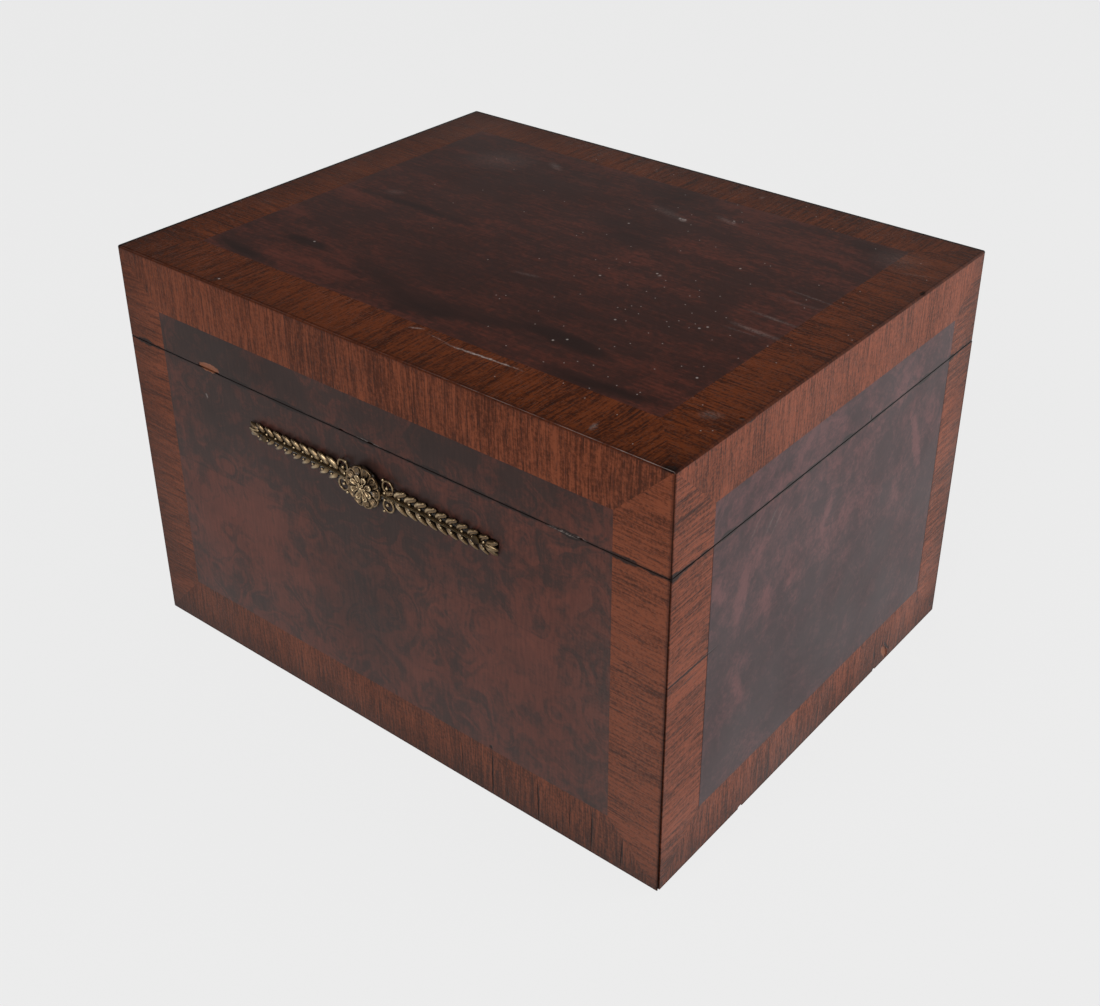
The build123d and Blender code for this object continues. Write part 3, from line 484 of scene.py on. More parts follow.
def burl_veneer(face, look):
    """Burr walnut, quarter-matched, under old French polish: a dark grey-brown ground with soft
    reddish clouds of 10 to 30 mm that half mirror across both joints, and a fine fibre."""
    made, add = new_material(f"burr_walnut_{face}")
    spec = FACES[face]
    u, v, place = face_place(add, face)
    from_u, from_v = (add("Math SUBTRACT", pair) for pair in zip((u, v), spec["joint"]))
    leaf_u, leaf_v = (add("Math ABSOLUTE", [gap]) for gap in (from_u, from_v))
    leaf = add("CombineXYZ", [leaf_u, leaf_v, spec["seed"]])
    swirl = add("TexNoise", {"Vector": leaf, "Scale": 1 / SWIRL, "Detail": 2.0}, 1)
    swirled = add("VectorMath MULTIPLY_ADD", [swirl, (spec["swirl"], spec["swirl"], 0), leaf])
    drawn = add("VectorMath MULTIPLY", [swirled, spec["draw"]])
    own = add("CombineXYZ", [u, v, spec["seed"]])
    own = add("VectorMath MULTIPLY", [own, spec["draw"]])
    places = {"leaf": leaf, "drawn": drawn, "own": own}
    patterns = {}
    for name, (vector, size, detail) in BURL_PATTERNS.items():
        inputs = {"Vector": places[vector], "Scale": 1 / size, "Detail": detail, "Roughness": 0.6}
        patterns[name] = add("TexNoise", inputs)
    # Curls: fibre that runs round the knots, along the contours of a smooth field
    knots = add("TexNoise", {"Vector": own, "Scale": 1 / KNOT, "Detail": 1.0})
    knots = add("Math MULTIPLY", [knots, CURL_LINES])
    curl_at = add("VectorMath MULTIPLY", [own, (1 / CURL, 1 / CURL, 1.0)])
    curl_at = add("VectorMath ADD", [curl_at, add("CombineXYZ", [0.0, 0.0, knots])])
    curl = add("TexNoise", {"Vector": curl_at, "Scale": 1.0, "Detail": 2.0, "Roughness": 0.6})
    for name, source, low, high in (("curl", curl, 0.4, 0.64), ("islands", patterns["flecks"], 0.49, 0.57)):
        patterns[name] = add("MapRange SMOOTHSTEP", [source, low, high, 0.0, 1.0])
    if spec["rings"]:
        radius = add("VectorMath LENGTH", [add("CombineXYZ", [leaf_u, leaf_v, 0.0])], 1)
        angle = add("Math ARCTAN2", [leaf_v, leaf_u])
        radius = add("Math MULTIPLY_ADD", [patterns["drift"], RING_WANDER, radius])
        curved = add("CombineXYZ", [radius, angle, spec["seed"]])
        fibre_at = add("VectorMath MULTIPLY", [curved, (1 / RING, RING_BREAKS, 1.0)])
    else:
        fibre_at = add("VectorMath MULTIPLY", [place, spec["fibre"]])
    patterns["fibre"] = add("TexNoise", {"Vector": fibre_at, "Scale": 1.0, "Detail": 3.0})
    soft = add("TexNoise", {"Vector": place, "Scale": 1 / PATCH_EDGE, "Detail": 4.0, "Roughness": 0.6}, 1)
    near, far = (shaken(add, place, soft, reach) for reach in (SHAKE_SMALL, SHAKE_LARGE))
    sums = []
    for spots in (RED_PATCHES[face], DARK_PATCHES[face]):
        small = [spot for spot in spots if min(spot[2:4]) < SMALL_PATCH]
        large = [spot for spot in spots if spot not in small]
        sums.append(patches(add, far, large, patches(add, near, small, spec["evenly"])))
    red, dark = sums
    weights = {name: weight * spec["cloud"] for name, weight in BURL_WEIGHTS.items()}
    weights["islands"] *= spec["islands"]
    weights["curl"] *= spec["curls"]
    warm = add("Math MULTIPLY_ADD", [red, RED_PATCH, PLAIN_RED - sum(weights.values()) / 2])
    warm = add("Math MULTIPLY_ADD", [dark, DARK_PATCH, warm])
    far_u, far_v = (add("Math GREATER_THAN", [gap, 0.0]) for gap in (from_u, from_v))
    low_leaf, high_leaf = (add("Mix", {0: far_u, 2: left, 3: right}) for left, right in spec["leaves"])
    leaf_tone = add("Mix", {0: far_v, 2: low_leaf, 3: high_leaf})
    warm = add("Math ADD", [warm, leaf_tone])
    for name, weight in weights.items():
        warm = add("Math MULTIPLY_ADD", [patterns[name], weight, warm])
    warm = add("MapRange SMOOTHSTEP", [warm, 0.0, 0.85, 0.0, 1.0])
    if face == "front":
        # One leaf was mended: the edges of the mend are straight and sharp
        edge, head, lighter = MENDED_LEAF
        inside, below = (add("Math LESS_THAN", pair) for pair in ((u, edge), (v, head)))
        inside = add("Math MULTIPLY", [inside, below])
        warm = add("Math MULTIPLY_ADD", [inside, patches(add, place, [lighter]), warm], use_clamp=True)
    ground, eye = (tinted(colour, spec["tint"]) for colour in (look.burl_ground, look.burl_dark))
    red_cloud = tinted(tinted(look.burl_red, spec["cloud_tint"]), spec["tint"])
    colour = add("Mix RGBA", {0: warm, 6: ground, 7: red_cloud}, 2)
    deep = add("Math MULTIPLY_ADD", [patterns["flecks"], 0.8, dark])
    deep = add("MapRange", [deep, 0.35, 1.4, 0.0, 0.75])
    colour = add("Mix RGBA", {0: deep, 6: colour, 7: eye}, 2)
    figure = add("MapRange", [patterns["fibre"], 0.3, 0.7, 0.86, 1.14])
    colour = add("Mix RGBA", {0: 1.0, 6: colour, 7: figure}, 2, blend_type="MULTIPLY")
    joint = add("Math MINIMUM", [leaf_u, leaf_v])
    joint = add("MapRange", [joint, 0.1, 0.5, 0.2, 0.0])
    colour = add("Mix RGBA", {0: joint, 6: colour, 7: opaque(look.grime_and_shade)}, 2)
    polish_and_wear(add, face, u, v, place, colour, patterns["flecks"], BURL_RELIEF, spec["gloss"], look)
    return made


def crossband_veneer(face, look):
    """Straight-grained mahogany laid across the border, under old French polish: brown-red ribbons with a roe
    figure, fine dark lines and pores along the grain, darker toward the edges with painted shade and some
    dirt."""
    made, add = new_material(f"mahogany_crossband_{face}")
    spec = FACES[face]
    u, v, place = face_place(add, face)
    shares = []
    # Each border darkens toward its edges: painted shade there, with some dirt
    edge_shade_and_dirt = 1.0
    for where, (low, high), widths, edges in zip((u, v), spec["span"], spec["band"], spec["darker"]):
        gaps = [add("Math SUBTRACT", pair) for pair in ((where, low), (high, where))]
        for gap, (amount, reach) in zip(gaps, edges):
            kept = add("MapRange", [gap, 0.0, reach, 1.0 - amount, 1.0])
            edge_shade_and_dirt = add("Math MULTIPLY", [kept, edge_shade_and_dirt])
        shares.append(add("Math MINIMUM", [add("Math DIVIDE", pair) for pair in zip(gaps, widths)]))
    # The grain runs in from the nearest edge: along u in the two upright strips, along v in the others
    upright = add("Math LESS_THAN", shares)
    across = add("Mix", {0: upright, 2: u, 3: v})
    along = add("Mix", {0: upright, 2: v, 3: u})
    far_u, far_v = (
        add("Math GREATER_THAN", [where, sum(ends) / 2]) for where, ends in zip((u, v), spec["span"])
    )
    strip = add("Mix", {0: upright, 2: far_v, 3: far_u})
    strip = add("Math MULTIPLY_ADD", [upright, 2.0, strip])
    strip = add("Math MULTIPLY_ADD", [strip, STRIP_STEP, spec["seed"]])
    weights = {name: weight * spec["figure"] for name, weight in BAND_WEIGHTS.items()}
    middle = sum(weights.values()) / 2
    tone_u, tone_v = (
        add("Mix", {0: far, 2: 0.5 - middle + low, 3: 0.5 - middle + high})
        for far, (low, high) in zip((far_u, far_v), spec["tone"])
    )
    tone = add("Mix", {0: upright, 2: tone_v, 3: tone_u})
    grain = add("CombineXYZ", [across, along, strip])
    wander = add("TexNoise", {"Vector": grain, "Scale": 1 / WANDER_LENGTH, "Detail": 1.0})
    across = add("Math MULTIPLY_ADD", [wander, WANDER, across])
    grain = add("CombineXYZ", [across, along, strip])
    patterns = {}
    for name, (wide, long, detail) in BAND_PATTERNS.items():
        at = add("VectorMath MULTIPLY", [grain, (1 / wide, 1 / long, 1)])
        patterns[name] = add("TexNoise", {"Vector": at, "Scale": 1.0, "Detail": detail, "Roughness": 0.6})
    length_at = add("Math MULTIPLY_ADD", [across, 1 / BAND_LENGTH, strip])
    lengths = {"W": length_at, "Scale": 1.0, "Randomness": 0.8}
    patterns["length"] = add("SeparateColor", [add("TexVoronoi 1D", lengths, 1)])
    plain = add("Math ADD", [tone, middle])
    for name, weight in weights.items():
        tone = add("Math MULTIPLY_ADD", [patterns[name], weight, tone])
    # The figure is clearer toward one end of a face and fades toward the other, a fade that paints the veil
    # of reflected sheen: on the top, toward one corner
    (u0, u1), (v0, v1) = spec["span"]
    reach, limits = u, (u0, u1)
    if face == "top":
        reach, limits = add("Math SUBTRACT", [u, v]), (u0 - v1, u1 - v0)
    clear = add("MapRange", [reach, *limits, *spec["sharp"]])
    tone = add("Mix", {0: clear, 2: plain, 3: tone}, clamp_factor=False)
    tone = add("Math ADD", [patches(add, place, LIGHT_STREAKS[face]), tone], use_clamp=True)
    ribbons = (look.crossband_dark, look.crossband_light)
    dark, light = (tinted(ribbon, spec["band_tint"]) for ribbon in ribbons)
    colour = add("Mix RGBA", {0: tone, 6: dark, 7: light}, 2)
    line = add("MapRange", [patterns["line"], 0.56, 0.75, 0.0, 0.6])
    pore = add("MapRange", [patterns["pore"], 0.56, 0.68, 0.0, 1.0])
    dark_line = add("Math MULTIPLY_ADD", [pore, 0.35, line])
    colour = add("Mix RGBA", {0: dark_line, 6: colour, 7: opaque(look.pore)}, 2)
    colour = add("Mix RGBA", {0: 1.0, 6: colour, 7: edge_shade_and_dirt}, 2, blend_type="MULTIPLY")
    height = add("Math SUBTRACT", [1.0, pore])
    polish_and_wear(add, face, u, v, place, colour, height, BAND_RELIEF, spec["band_gloss"], look)
    return made


def board_wood(name, light, dark, ring, roughness, along):
    """Planed board, matt: growth rings as soft stripes along its length, darker late wood, fine fibre."""
    made, add = new_material(name)
    where = add("TexCoord", out="Object")
    per_metre = [1 / (25 * ring * MM) if axis == along else 1 / (ring * MM) for axis in "XYZ"]
    rings_at = add("VectorMath MULTIPLY", [where, per_metre])
    bend = add("TexNoise", {"Vector": rings_at, "Scale": 0.12, "Detail": 2.0})
    drift = add("CombineXYZ", [bend] * 3)
    bent = add("VectorMath MULTIPLY_ADD", [drift, (4, 4, 4), rings_at])
    wave = {"Vector": bent, "Scale": 0.4, "Distortion": 1.6, "Detail": 2.0, "Detail Scale": 0.5}
    rings = add("TexWave", wave, 1, bands_direction="DIAGONAL", wave_profile="SAW")
    # Fibres are drawn 0.8 mm wide, so that they show in the render
    per_metre = [1 / (25 * MM) if axis == along else 1 / (0.8 * MM) for axis in "XYZ"]
    fibre_at = add("VectorMath MULTIPLY", [where, per_metre])
    fibre = add("TexNoise", {"Vector": fibre_at, "Scale": 1.0, "Detail": 3.0})
    tone = add("Math MULTIPLY_ADD", [fibre, 2.2, rings])
    tone = add("Math MULTIPLY_ADD", [bend, 1.6, tone])
    tone = add("MapRange", [tone, 1.4, 3.4, 0.0, 1.0])
    colour = add("Mix RGBA", {0: tone, 6: opaque(linear(light)), 7: opaque(linear(dark))}, 2)
    rough = add("MapRange", [fibre, 0.3, 0.7, roughness - 0.05, roughness + 0.08])
    close_material(add, colour, rough, fibre, 0.05)
    return made


def drawn_brass(name, clean, dull, roughness):
    """Rolled brass hardware gone dull: faint rolling lines, brown tarnish in soft clouds."""
    made, add = new_material(name)
    where = add("TexCoord", out="Object")
    clouds = add("TexNoise", {"Vector": where, "Scale": 1 / (6.25 * MM), "Detail": 4.0})
    lines_at = add("VectorMath MULTIPLY", [where, [1 / (size * MM) for size in (8.333, 0.3333, 0.3333)]])
    lines = add("TexNoise", {"Vector": lines_at, "Scale": 1.0, "Detail": 2.0})
    tarnish = add("MapRange SMOOTHSTEP", [clouds, 0.4, 0.68, 0.0, 1.0])
    colour = add("Mix RGBA", {0: tarnish, 6: opaque(linear(clean)), 7: opaque(linear(dull))}, 2)
    rough = add("Math MULTIPLY_ADD", [tarnish, 0.2, roughness])
    close_material(add, colour, rough, lines, 0.003, Metallic=1.0)
    return made


def cast_brass(name, look, low, high):
    """Old cast brass: nearly black low in the hollows and on the sides, partly dirt and partly painted shade
    there, olive-brown patina over the body, worn metal on the points and rims that are touched, from low to
    high millimetres off its back."""
    made, add = new_material(name)
    where = add("TexCoord", out="Object")
    # Dark low near the back plane and in the hollows that ambient occlusion finds: partly dirt, partly
    # painted shade of the sides and hollows
    out_of_face = add("SeparateXYZ", [where], "Y")
    rise = add("MapRange", [out_of_face, look.back - low * MM, look.back - high * MM, 0.0, 1.0])
    hollow = add("AmbientOcclusion", {"Distance": 1.4 * MM}, 1, samples=8, only_local=True)
    mottle = add("TexNoise", {"Vector": where, "Scale": 1 / (1.111 * MM), "Detail": 4.0})
    exposed_and_unshaded = add("Math MULTIPLY_ADD", [hollow, 1.0, rise])
    exposed_and_unshaded = add("Math MULTIPLY_ADD", [mottle, 0.4, exposed_and_unshaded])
    body, bright = (
        add("MapRange SMOOTHSTEP", [exposed_and_unshaded, start, end, 0.0, 1.0])
        for start, end in ((0.85, 1.5), (1.5, 2.0))
    )
    colour = opaque(look.brass_dirt_and_shade)
    for amount, over in ((body, look.brass_patina), (bright, look.brass_worn)):
        colour = add("Mix RGBA", {0: amount, 6: colour, 7: opaque(over)}, 2)
    metal = add("MapRange", [body, 0.0, 1.0, 0.1, 0.95])
    rough = add("MapRange", [bright, 0.0, 1.0, 0.3, 0.17])
    close_material(add, colour, rough, mottle, 0.05, Metallic=metal)
    return made


def spring_steel():
    """Blued spring strip, worn back to bare steel in patches."""
    made, add = new_material("blued_spring_steel")
    where = add("TexCoord", out="Object")
    worn = add("TexNoise", {"Vector": where, "Scale": 1 / (4.545 * MM), "Detail": 4.0})
    worn = add("MapRange", [worn, 0.45, 0.62, 0.0, 1.0])
    colour = add("Mix RGBA", {0: worn, 6: opaque(linear("2b3038")), 7: opaque(linear("8a8b8c"))}, 2)
    rough = add("MapRange", [worn, 0.0, 1.0, 0.45, 0.3])
    close_material(add, colour, rough, Metallic=1.0)
    return made


def finish_node(name, material):
    for slot in nodes[name].material_slots:
        slot.material = material


# Modelling by hand


def in_metres(*sizes):
    return [size * MM for size in sizes]


def begin(primitive, name, **sizes):
    """Adds a primitive with nothing else selected and opens it in edit mode, its place in its mesh."""
    bpy.ops.object.select_all(action="DESELECT")
    primitive(**sizes)
    made = bpy.context.object
    made.name = name
    bpy.ops.object.transform_apply(location=True, rotation=True, scale=True)
    bpy.ops.object.mode_set(mode="EDIT")
    bpy.ops.mesh.select_all(action="SELECT")
    return made


def close_smooth():
    bpy.ops.object.mode_set(mode="OBJECT")
    bpy.ops.object.shade_smooth()


def select_only(*objects):
    """Selects these objects and makes the first one active."""
    bpy.ops.object.select_all(action="DESELECT")
    for obj in objects:
        obj.select_set(True)
    bpy.context.view_layer.objects.active = objects[0]


def pick(obj, kind, test):
    """In edit mode, selects only the verts or faces whose middle passes the test."""
    bpy.ops.mesh.select_mode(type=kind)
    bpy.ops.mesh.select_all(action="DESELECT")
    mesh = bmesh.from_edit_mesh(obj.data)
    for item in mesh.verts if kind == "VERT" else mesh.faces:
        if test(item.co if kind == "VERT" else item.calc_center_median()):
            item.select_set(True)
    mesh.select_flush_mode()
    bmesh.update_edit_mesh(obj.data)


def stretch(x, y, z, about=(0, 0, 0)):
    bpy.ops.transform.resize(value=(x, y, z), center_override=about)


def shift(x, y, z):
    bpy.ops.transform.translate(value=(x, y, z))


def plump_leaf(name, length, width, height, groove=0.0, curl=0.0, lift=0.0, flare=0.93):
    """One full leaf along +X from the origin, flat below, sizes in millimetres: a groove along its middle,
    and a point that curls sideways and up."""
    length, width, height, groove, curl, lift = in_metres(length, width, height, groove, curl, lift)
    sphere = bpy.ops.mesh.primitive_uv_sphere_add
    leaf = begin(sphere, name, segments=16, ring_count=10, radius=0.5, rotation=(0, math.pi / 2, 0))
    stretch(length, width, 2 * height)
    shift(length / 2, 0, 0)
    pick(leaf, "VERT", lambda at: at.z < -0.01 * height)
    stretch(1, 1, 0.1)
    pick(leaf, "VERT", lambda at: at.x < 0.35 * length)
    stretch(1, 1.2, 1.0)
    pick(leaf, "VERT", lambda at: at.z > 0.4 * height and abs(at.y) < 0.08 * width and at.x > 0.15 * length)
    shift(0, 0, -groove)
    for share in (0.55, 0.74, 0.88):
        pick(leaf, "VERT", lambda at: at.x > share * length)
        stretch(1, flare, 0.97)
        shift(0.03 * length, curl / 3, lift / 3)
    close_smooth()
    return leaf


def cast_leaf(name, length, width, height, rim, hollow, tip_lift=0.0, midrib=0.0, point=1.0, sides=16):
    """One petal along +X from the origin, sizes in millimetres: narrow at its foot, with a raised rim,
    a hollow and a midrib."""
    length, width, height, rim, hollow, tip_lift, midrib = in_metres(
        length, width, height, rim, hollow, tip_lift, midrib
    )
    leaf = begin(bpy.ops.mesh.primitive_circle_add, name, vertices=sides, radius=0.5, fill_type="NGON")
    stretch(length, width, 1)
    shift(length / 2, 0, 0)
    pick(leaf, "VERT", lambda at: at.x < 0.35 * length)
    stretch(1, 0.7, 1)
    pick(leaf, "VERT", lambda at: at.x > 0.8 * length)
    stretch(1, point, 1)
    pick(leaf, "FACE", lambda at: True)
    bpy.ops.mesh.extrude_region_move(TRANSFORM_OT_translate={"value": (0, 0, 0.55 * height)})
    for share, depth in ((0.35, 0.45 * height), (0.35, 0.0), (0.3, -hollow)):
        bpy.ops.mesh.inset(thickness=share * rim, depth=depth)
    stretch(0.92, 0.6, 1, (length / 2, 0, 0))
    if midrib:
        bpy.ops.mesh.inset(thickness=0.05 * width, depth=0.0)
        stretch(1.0, 0.35, 1, (length / 2, 0, 0))
        shift(0, 0, midrib)
    for share, lift in ((0.7, 0.6), (0.94, 0.4)):
        pick(leaf, "VERT", lambda at: at.x > share * length)
        shift(0.04 * length, 0, lift * tip_lift)
    bpy.ops.object.mode_set(mode="OBJECT")
    rounding = leaf.modifiers.new("rounding", "SUBSURF")
    rounding.levels = 1
    rounding.render_levels = 1
    bpy.ops.object.modifier_apply(modifier=rounding.name)
    bpy.ops.object.shade_smooth()
    return leaf


def berry(name, radius):
    """A small round berry, pressed a little flat; its radius in millimetres."""
    made = begin(bpy.ops.mesh.primitive_uv_sphere_add, name, segments=10, ring_count=6, radius=radius * MM)
    stretch(1, 1, 0.9)
    close_smooth()
    return made


def scroll(name, radius, wire, sweep):
    """An open C-scroll of round wire in the XY plane, made by a spin; sizes in millimetres and degrees."""
    made = begin(
        bpy.ops.mesh.primitive_circle_add,
        name,
        vertices=8,
        radius=wire * MM,
        fill_type="NGON",
        location=(radius * MM, 0, 0),
        rotation=(math.pi / 2, 0, 0),
    )
    bpy.ops.mesh.spin(steps=18, angle=math.radians(sweep), center=(0, 0, 0), axis=(0, 0, 1))
    bpy.ops.mesh.select_all(action="SELECT")
    bpy.ops.mesh.normals_make_consistent(inside=False)
    close_smooth()
    return made


def stem_rod(name, start, end, wide, high):
    """A tapering half-round stem along +X with its underside on z = 0, sizes in millimetres."""
    start, end, wide, high = in_metres(start, end, wide, high)
    middle = (start + end) / 2
    made = begin(
        bpy.ops.mesh.primitive_cylinder_add,
        name,
        vertices=12,
        radius=0.5,
        depth=end - start,
        location=(middle, 0, 0),
        rotation=(0, math.pi / 2, 0),
    )
    stretch(1, wide, 2 * high)
    pick(made, "VERT", lambda at: at.x > middle)
    stretch(1, 0.6, 0.8)
    bpy.ops.mesh.select_all(action="SELECT")
    bpy.ops.mesh.bisect(plane_co=(0, 0, 0), plane_no=(0, 0, 1), clear_inner=True, use_fill=True)
    bpy.ops.object.mode_set(mode="OBJECT")
    bpy.ops.object.shade_smooth_by_angle(angle=math.radians(50))
    return made


def copy_to(pattern, place):
    """A copy of a pattern with its own mesh, at a place."""
    made = pattern.copy()
    made.data = pattern.data.copy()
    made.matrix_world = place
    bpy.context.scene.collection.objects.link(made)
    return made


def join_as(name, parts):
    """Joins parts into one mesh with outward faces, at the origin, unturned and unscaled."""
    select_only(*parts)
    bpy.ops.object.join()
    whole = bpy.context.object
    whole.name = name
    whole.data.name = name
    bpy.ops.object.transform_apply(location=True, rotation=True, scale=True)
    bpy.ops.object.mode_set(mode="EDIT")
    bpy.ops.mesh.select_all(action="SELECT")
    bpy.ops.mesh.normals_make_consistent(inside=False)
    bpy.ops.object.mode_set(mode="OBJECT")
    return whole


def cast_as(name, placed, size, lift, material):
    """Copies patterns to their places and joins them into one casting on the front of the box, which stands
    lift millimetres off the mount's back plane and has the mount's slight droop."""
    whole = join_as(name, [copy_to(pattern, place) for pattern, place in placed])
    for pattern in {pattern for pattern, _ in placed}:
        bpy.data.objects.remove(pattern)
    whole.rotation_euler = (math.pi / 2, size.droop, 0)
    whole.location = (0, size.back - lift * MM, size.height)
    select_only(whole)
    bpy.ops.object.transform_apply(location=True, rotation=True, scale=True)
    whole.data.materials.clear()
    whole.data.materials.append(material)
    return whole


def turned(x, y, z, turn=0.0, tilt=0.0, flip=1.0, grow=1.0):
    """A place on the mount: millimetres, turn in degrees, tilt about its length in radians, mirror, size."""
    size = Matrix.Diagonal((grow, flip * grow, grow, 1))
    turns = Matrix.Rotation(math.radians(turn), 4, "Z") @ Matrix.Rotation(tilt, 4, "X")
    return Matrix.Translation(in_metres(x, y, z)) @ turns @ size


def ring_of(count, first=0.0):
    """Turns that share a circle evenly; first is the first one's place in steps."""
    return [Matrix.Rotation(2 * math.pi * (step + first) / count, 4, "Z") for step in range(count)]


def veneer_strip(name, low, high, moves=()):
    """A flat piece of veneer between two corners, then some of its corners moved to make mitres and gaps."""
    strip = begin(bpy.ops.mesh.primitive_cube_add, name, size=1.0)
    stretch(*(b - a for a, b in zip(low, high)))
    shift(*((a + b) / 2 for a, b in zip(low, high)))
    near = 0.01 * MM
    for corner, step in moves:

        def at_corner(at):
            return all(abs(getattr(at, axis) - value) < near for axis, value in corner.items())

        pick(strip, "VERT", at_corner)
        shift(*step)
    bpy.ops.object.mode_set(mode="OBJECT")
    return strip


def break_away(strip, middle, half_sizes, seed, turn=(0, 0, 0)):
    """Breaks a ragged chip out of a strip of veneer with a Boolean, applied; half sizes in millimetres."""
    half_sizes = in_metres(*half_sizes)
    chip = begin(bpy.ops.mesh.primitive_ico_sphere_add, "chip", subdivisions=3, radius=1.0)
    stretch(*half_sizes)
    bpy.ops.transform.vertex_random(offset=0.12 * min(half_sizes), seed=seed)
    bpy.ops.object.mode_set(mode="OBJECT")
    chip.rotation_euler = turn
    chip.location = middle
    bpy.ops.object.transform_apply(location=True, rotation=True, scale=True)
    select_only(strip)
    cut = strip.modifiers.new("chip", "BOOLEAN")
    cut.operation = "DIFFERENCE"
    cut.solver = "EXACT"
    cut.object = chip
    bpy.ops.object.modifier_apply(modifier=cut.name)
    bpy.data.objects.remove(chip)


# Settings


class VeneerLook(bpy.types.PropertyGroup):
    """Colours and polish of the veneers"""

    burl_ground: FloatVectorProperty(
        name="Burl ground", description="Main colour of the burl", subtype="COLOR", default=linear("3a2722")
    )
    burl_red: FloatVectorProperty(
        name="Burl clouds", description="Reddish clouds in the burl",
        subtype="COLOR", default=linear("663a2d"),
    )
    burl_dark: FloatVectorProperty(
        name="Burl eyes", description="Darkest parts of the burl", subtype="COLOR", default=linear("221815")
    )
    crossband_light: FloatVectorProperty(
        name="Border, light", description="Lighter ribbons of the border",
        subtype="COLOR", default=linear("7c4129"),
    )
    crossband_dark: FloatVectorProperty(
        name="Border, dark", description="Darker ribbons of the border",
        subtype="COLOR", default=linear("452010"),
    )
    pore: FloatVectorProperty(
        name="Pores", description="Open pores of the border", subtype="COLOR", default=linear("26130c")
    )
    rubbed_edge: FloatVectorProperty(
        name="Rubbed edges", description="Wood where the polish is rubbed off",
        subtype="COLOR", default=linear("3a2019"),
    )
    # Grime also paints the shade along the top's left and back edges
    grime_and_shade: FloatVectorProperty(
        name="Grime", description="Dirt in joints and along the seam",
        subtype="COLOR", default=linear("1a0f0c"),
    )
    bare_wood: FloatVectorProperty(
        name="Bare wood", description="Wood under the veneer where it is chipped",
        subtype="COLOR", default=linear("85523a"),
    )
    bloom: FloatVectorProperty(
        name="Bloom", description="Grey haze in the old polish", subtype="COLOR", default=linear("afafaf")
    )
    # Scuffs also give the colour of the painted highlight along the lid's front arris
    scuffs_and_highlight: FloatVectorProperty(
        name="Scuffs", description="Pale scuffs, scratches and dust",
        subtype="COLOR", default=linear("b9aca6"),
    )
    gap_top: FloatProperty(
        name="Corner gap, top", description="Open joint at the front right corner, under the lid",
        default=0.35 * MM, subtype="DISTANCE",
    )
    gap_foot: FloatProperty(
        name="Corner gap, foot", description="The same joint at the foot of the box",
        default=1.0 * MM, subtype="DISTANCE",
    )
    polish: FloatProperty(
        name="Polish roughness", description="Roughness of the polish",
        default=0.4, min=0.1, max=0.9, subtype="FACTOR",
    )


class MountLook(bpy.types.PropertyGroup):
    """Sizes and colours of the cast mount"""

    back: FloatProperty(
        name="Back plane", description="Where the casting's back lies",
        default=-120.3 * MM, subtype="DISTANCE",
    )
    height: FloatProperty(
        name="Height", description="Height of the mount's middle", default=134.5 * MM, subtype="DISTANCE"
    )
    droop: FloatProperty(
        name="Droop", description="How far the right end hangs", default=math.radians(1.0), subtype="ANGLE"
    )
    leaf_pairs: IntProperty(
        name="Leaf pairs", description="Leaf pairs on each arm", default=9, min=3, max=14
    )
    leaf_pitch: FloatProperty(
        name="Leaf pitch", description="Distance between leaf pairs", default=5.7 * MM, subtype="DISTANCE"
    )
    first_leaf: FloatProperty(
        name="First leaf", description="First leaf pair from the middle",
        default=16.5 * MM, subtype="DISTANCE",
    )
    outer_petals: IntProperty(name="Outer petals", description="Petals in the outer ring", default=10)
    inner_petals: IntProperty(name="Inner petals", description="Petals in the inner ring", default=8)
    # Nearly black colour low on the casting and in its hollows: partly dirt, partly painted shade
    brass_dirt_and_shade: FloatVectorProperty(
        name="Dirt", description="Dirt in the hollows", subtype="COLOR", default=linear("140d07")
    )
    brass_patina: FloatVectorProperty(
        name="Patina", description="Patina over the body", subtype="COLOR", default=linear("745f46")
    )
    brass_worn: FloatVectorProperty(
        name="Worn metal", description="Brass on the worn points", subtype="COLOR", default=linear("e0c8a0")
    )


class StageLook(bpy.types.PropertyGroup):
    """Floor, light and camera"""

    pale: FloatVectorProperty(
        name="Backdrop", description="Colour of floor and backdrop",
        subtype="COLOR", default=linear("ebebeb"),
    )
    ceiling: FloatVectorProperty(
        name="Ceiling", description="Dim room above the backdrop", subtype="COLOR", default=linear("3c3c3c")
    )
    key: FloatProperty(name="Key lamp", description="Soft lamp at the right", default=16.0, subtype="POWER")
    fill: FloatProperty(
        name="Fill lamp", description="Soft lamp at the front", default=16.0, subtype="POWER"
    )
    over: FloatProperty(name="Overhead lamp", description="Soft lamp above", default=3.0, subtype="POWER")


class PuzzleBoxLook(bpy.types.PropertyGroup):
    """All settings of the puzzle box"""

    veneer: PointerProperty(type=VeneerLook)
    mount: PointerProperty(type=MountLook)
    stage: PointerProperty(type=StageLook)


# Operators


class PUZZLE_BOX_OT_polish_veneer(bpy.types.Operator):
    """Finishes the burl leaves and the crossbanded borders of every face"""

    bl_idname = "puzzle_box.polish_veneer"
    bl_label = "Polish Veneer"

    def execute(self, context):
        look = context.scene.puzzle_box.veneer
        for face in FACES:
            burl = burl_veneer(face, look)
            border = crossband_veneer(face, look)
            for part in ["lid_top"] if face == "top" else [f"base_{face}", f"lid_{face}"]:
                finish_node(f"{part}_burl", burl)
                finish_node(f"{part}_crossband", border)
        return {"FINISHED"}


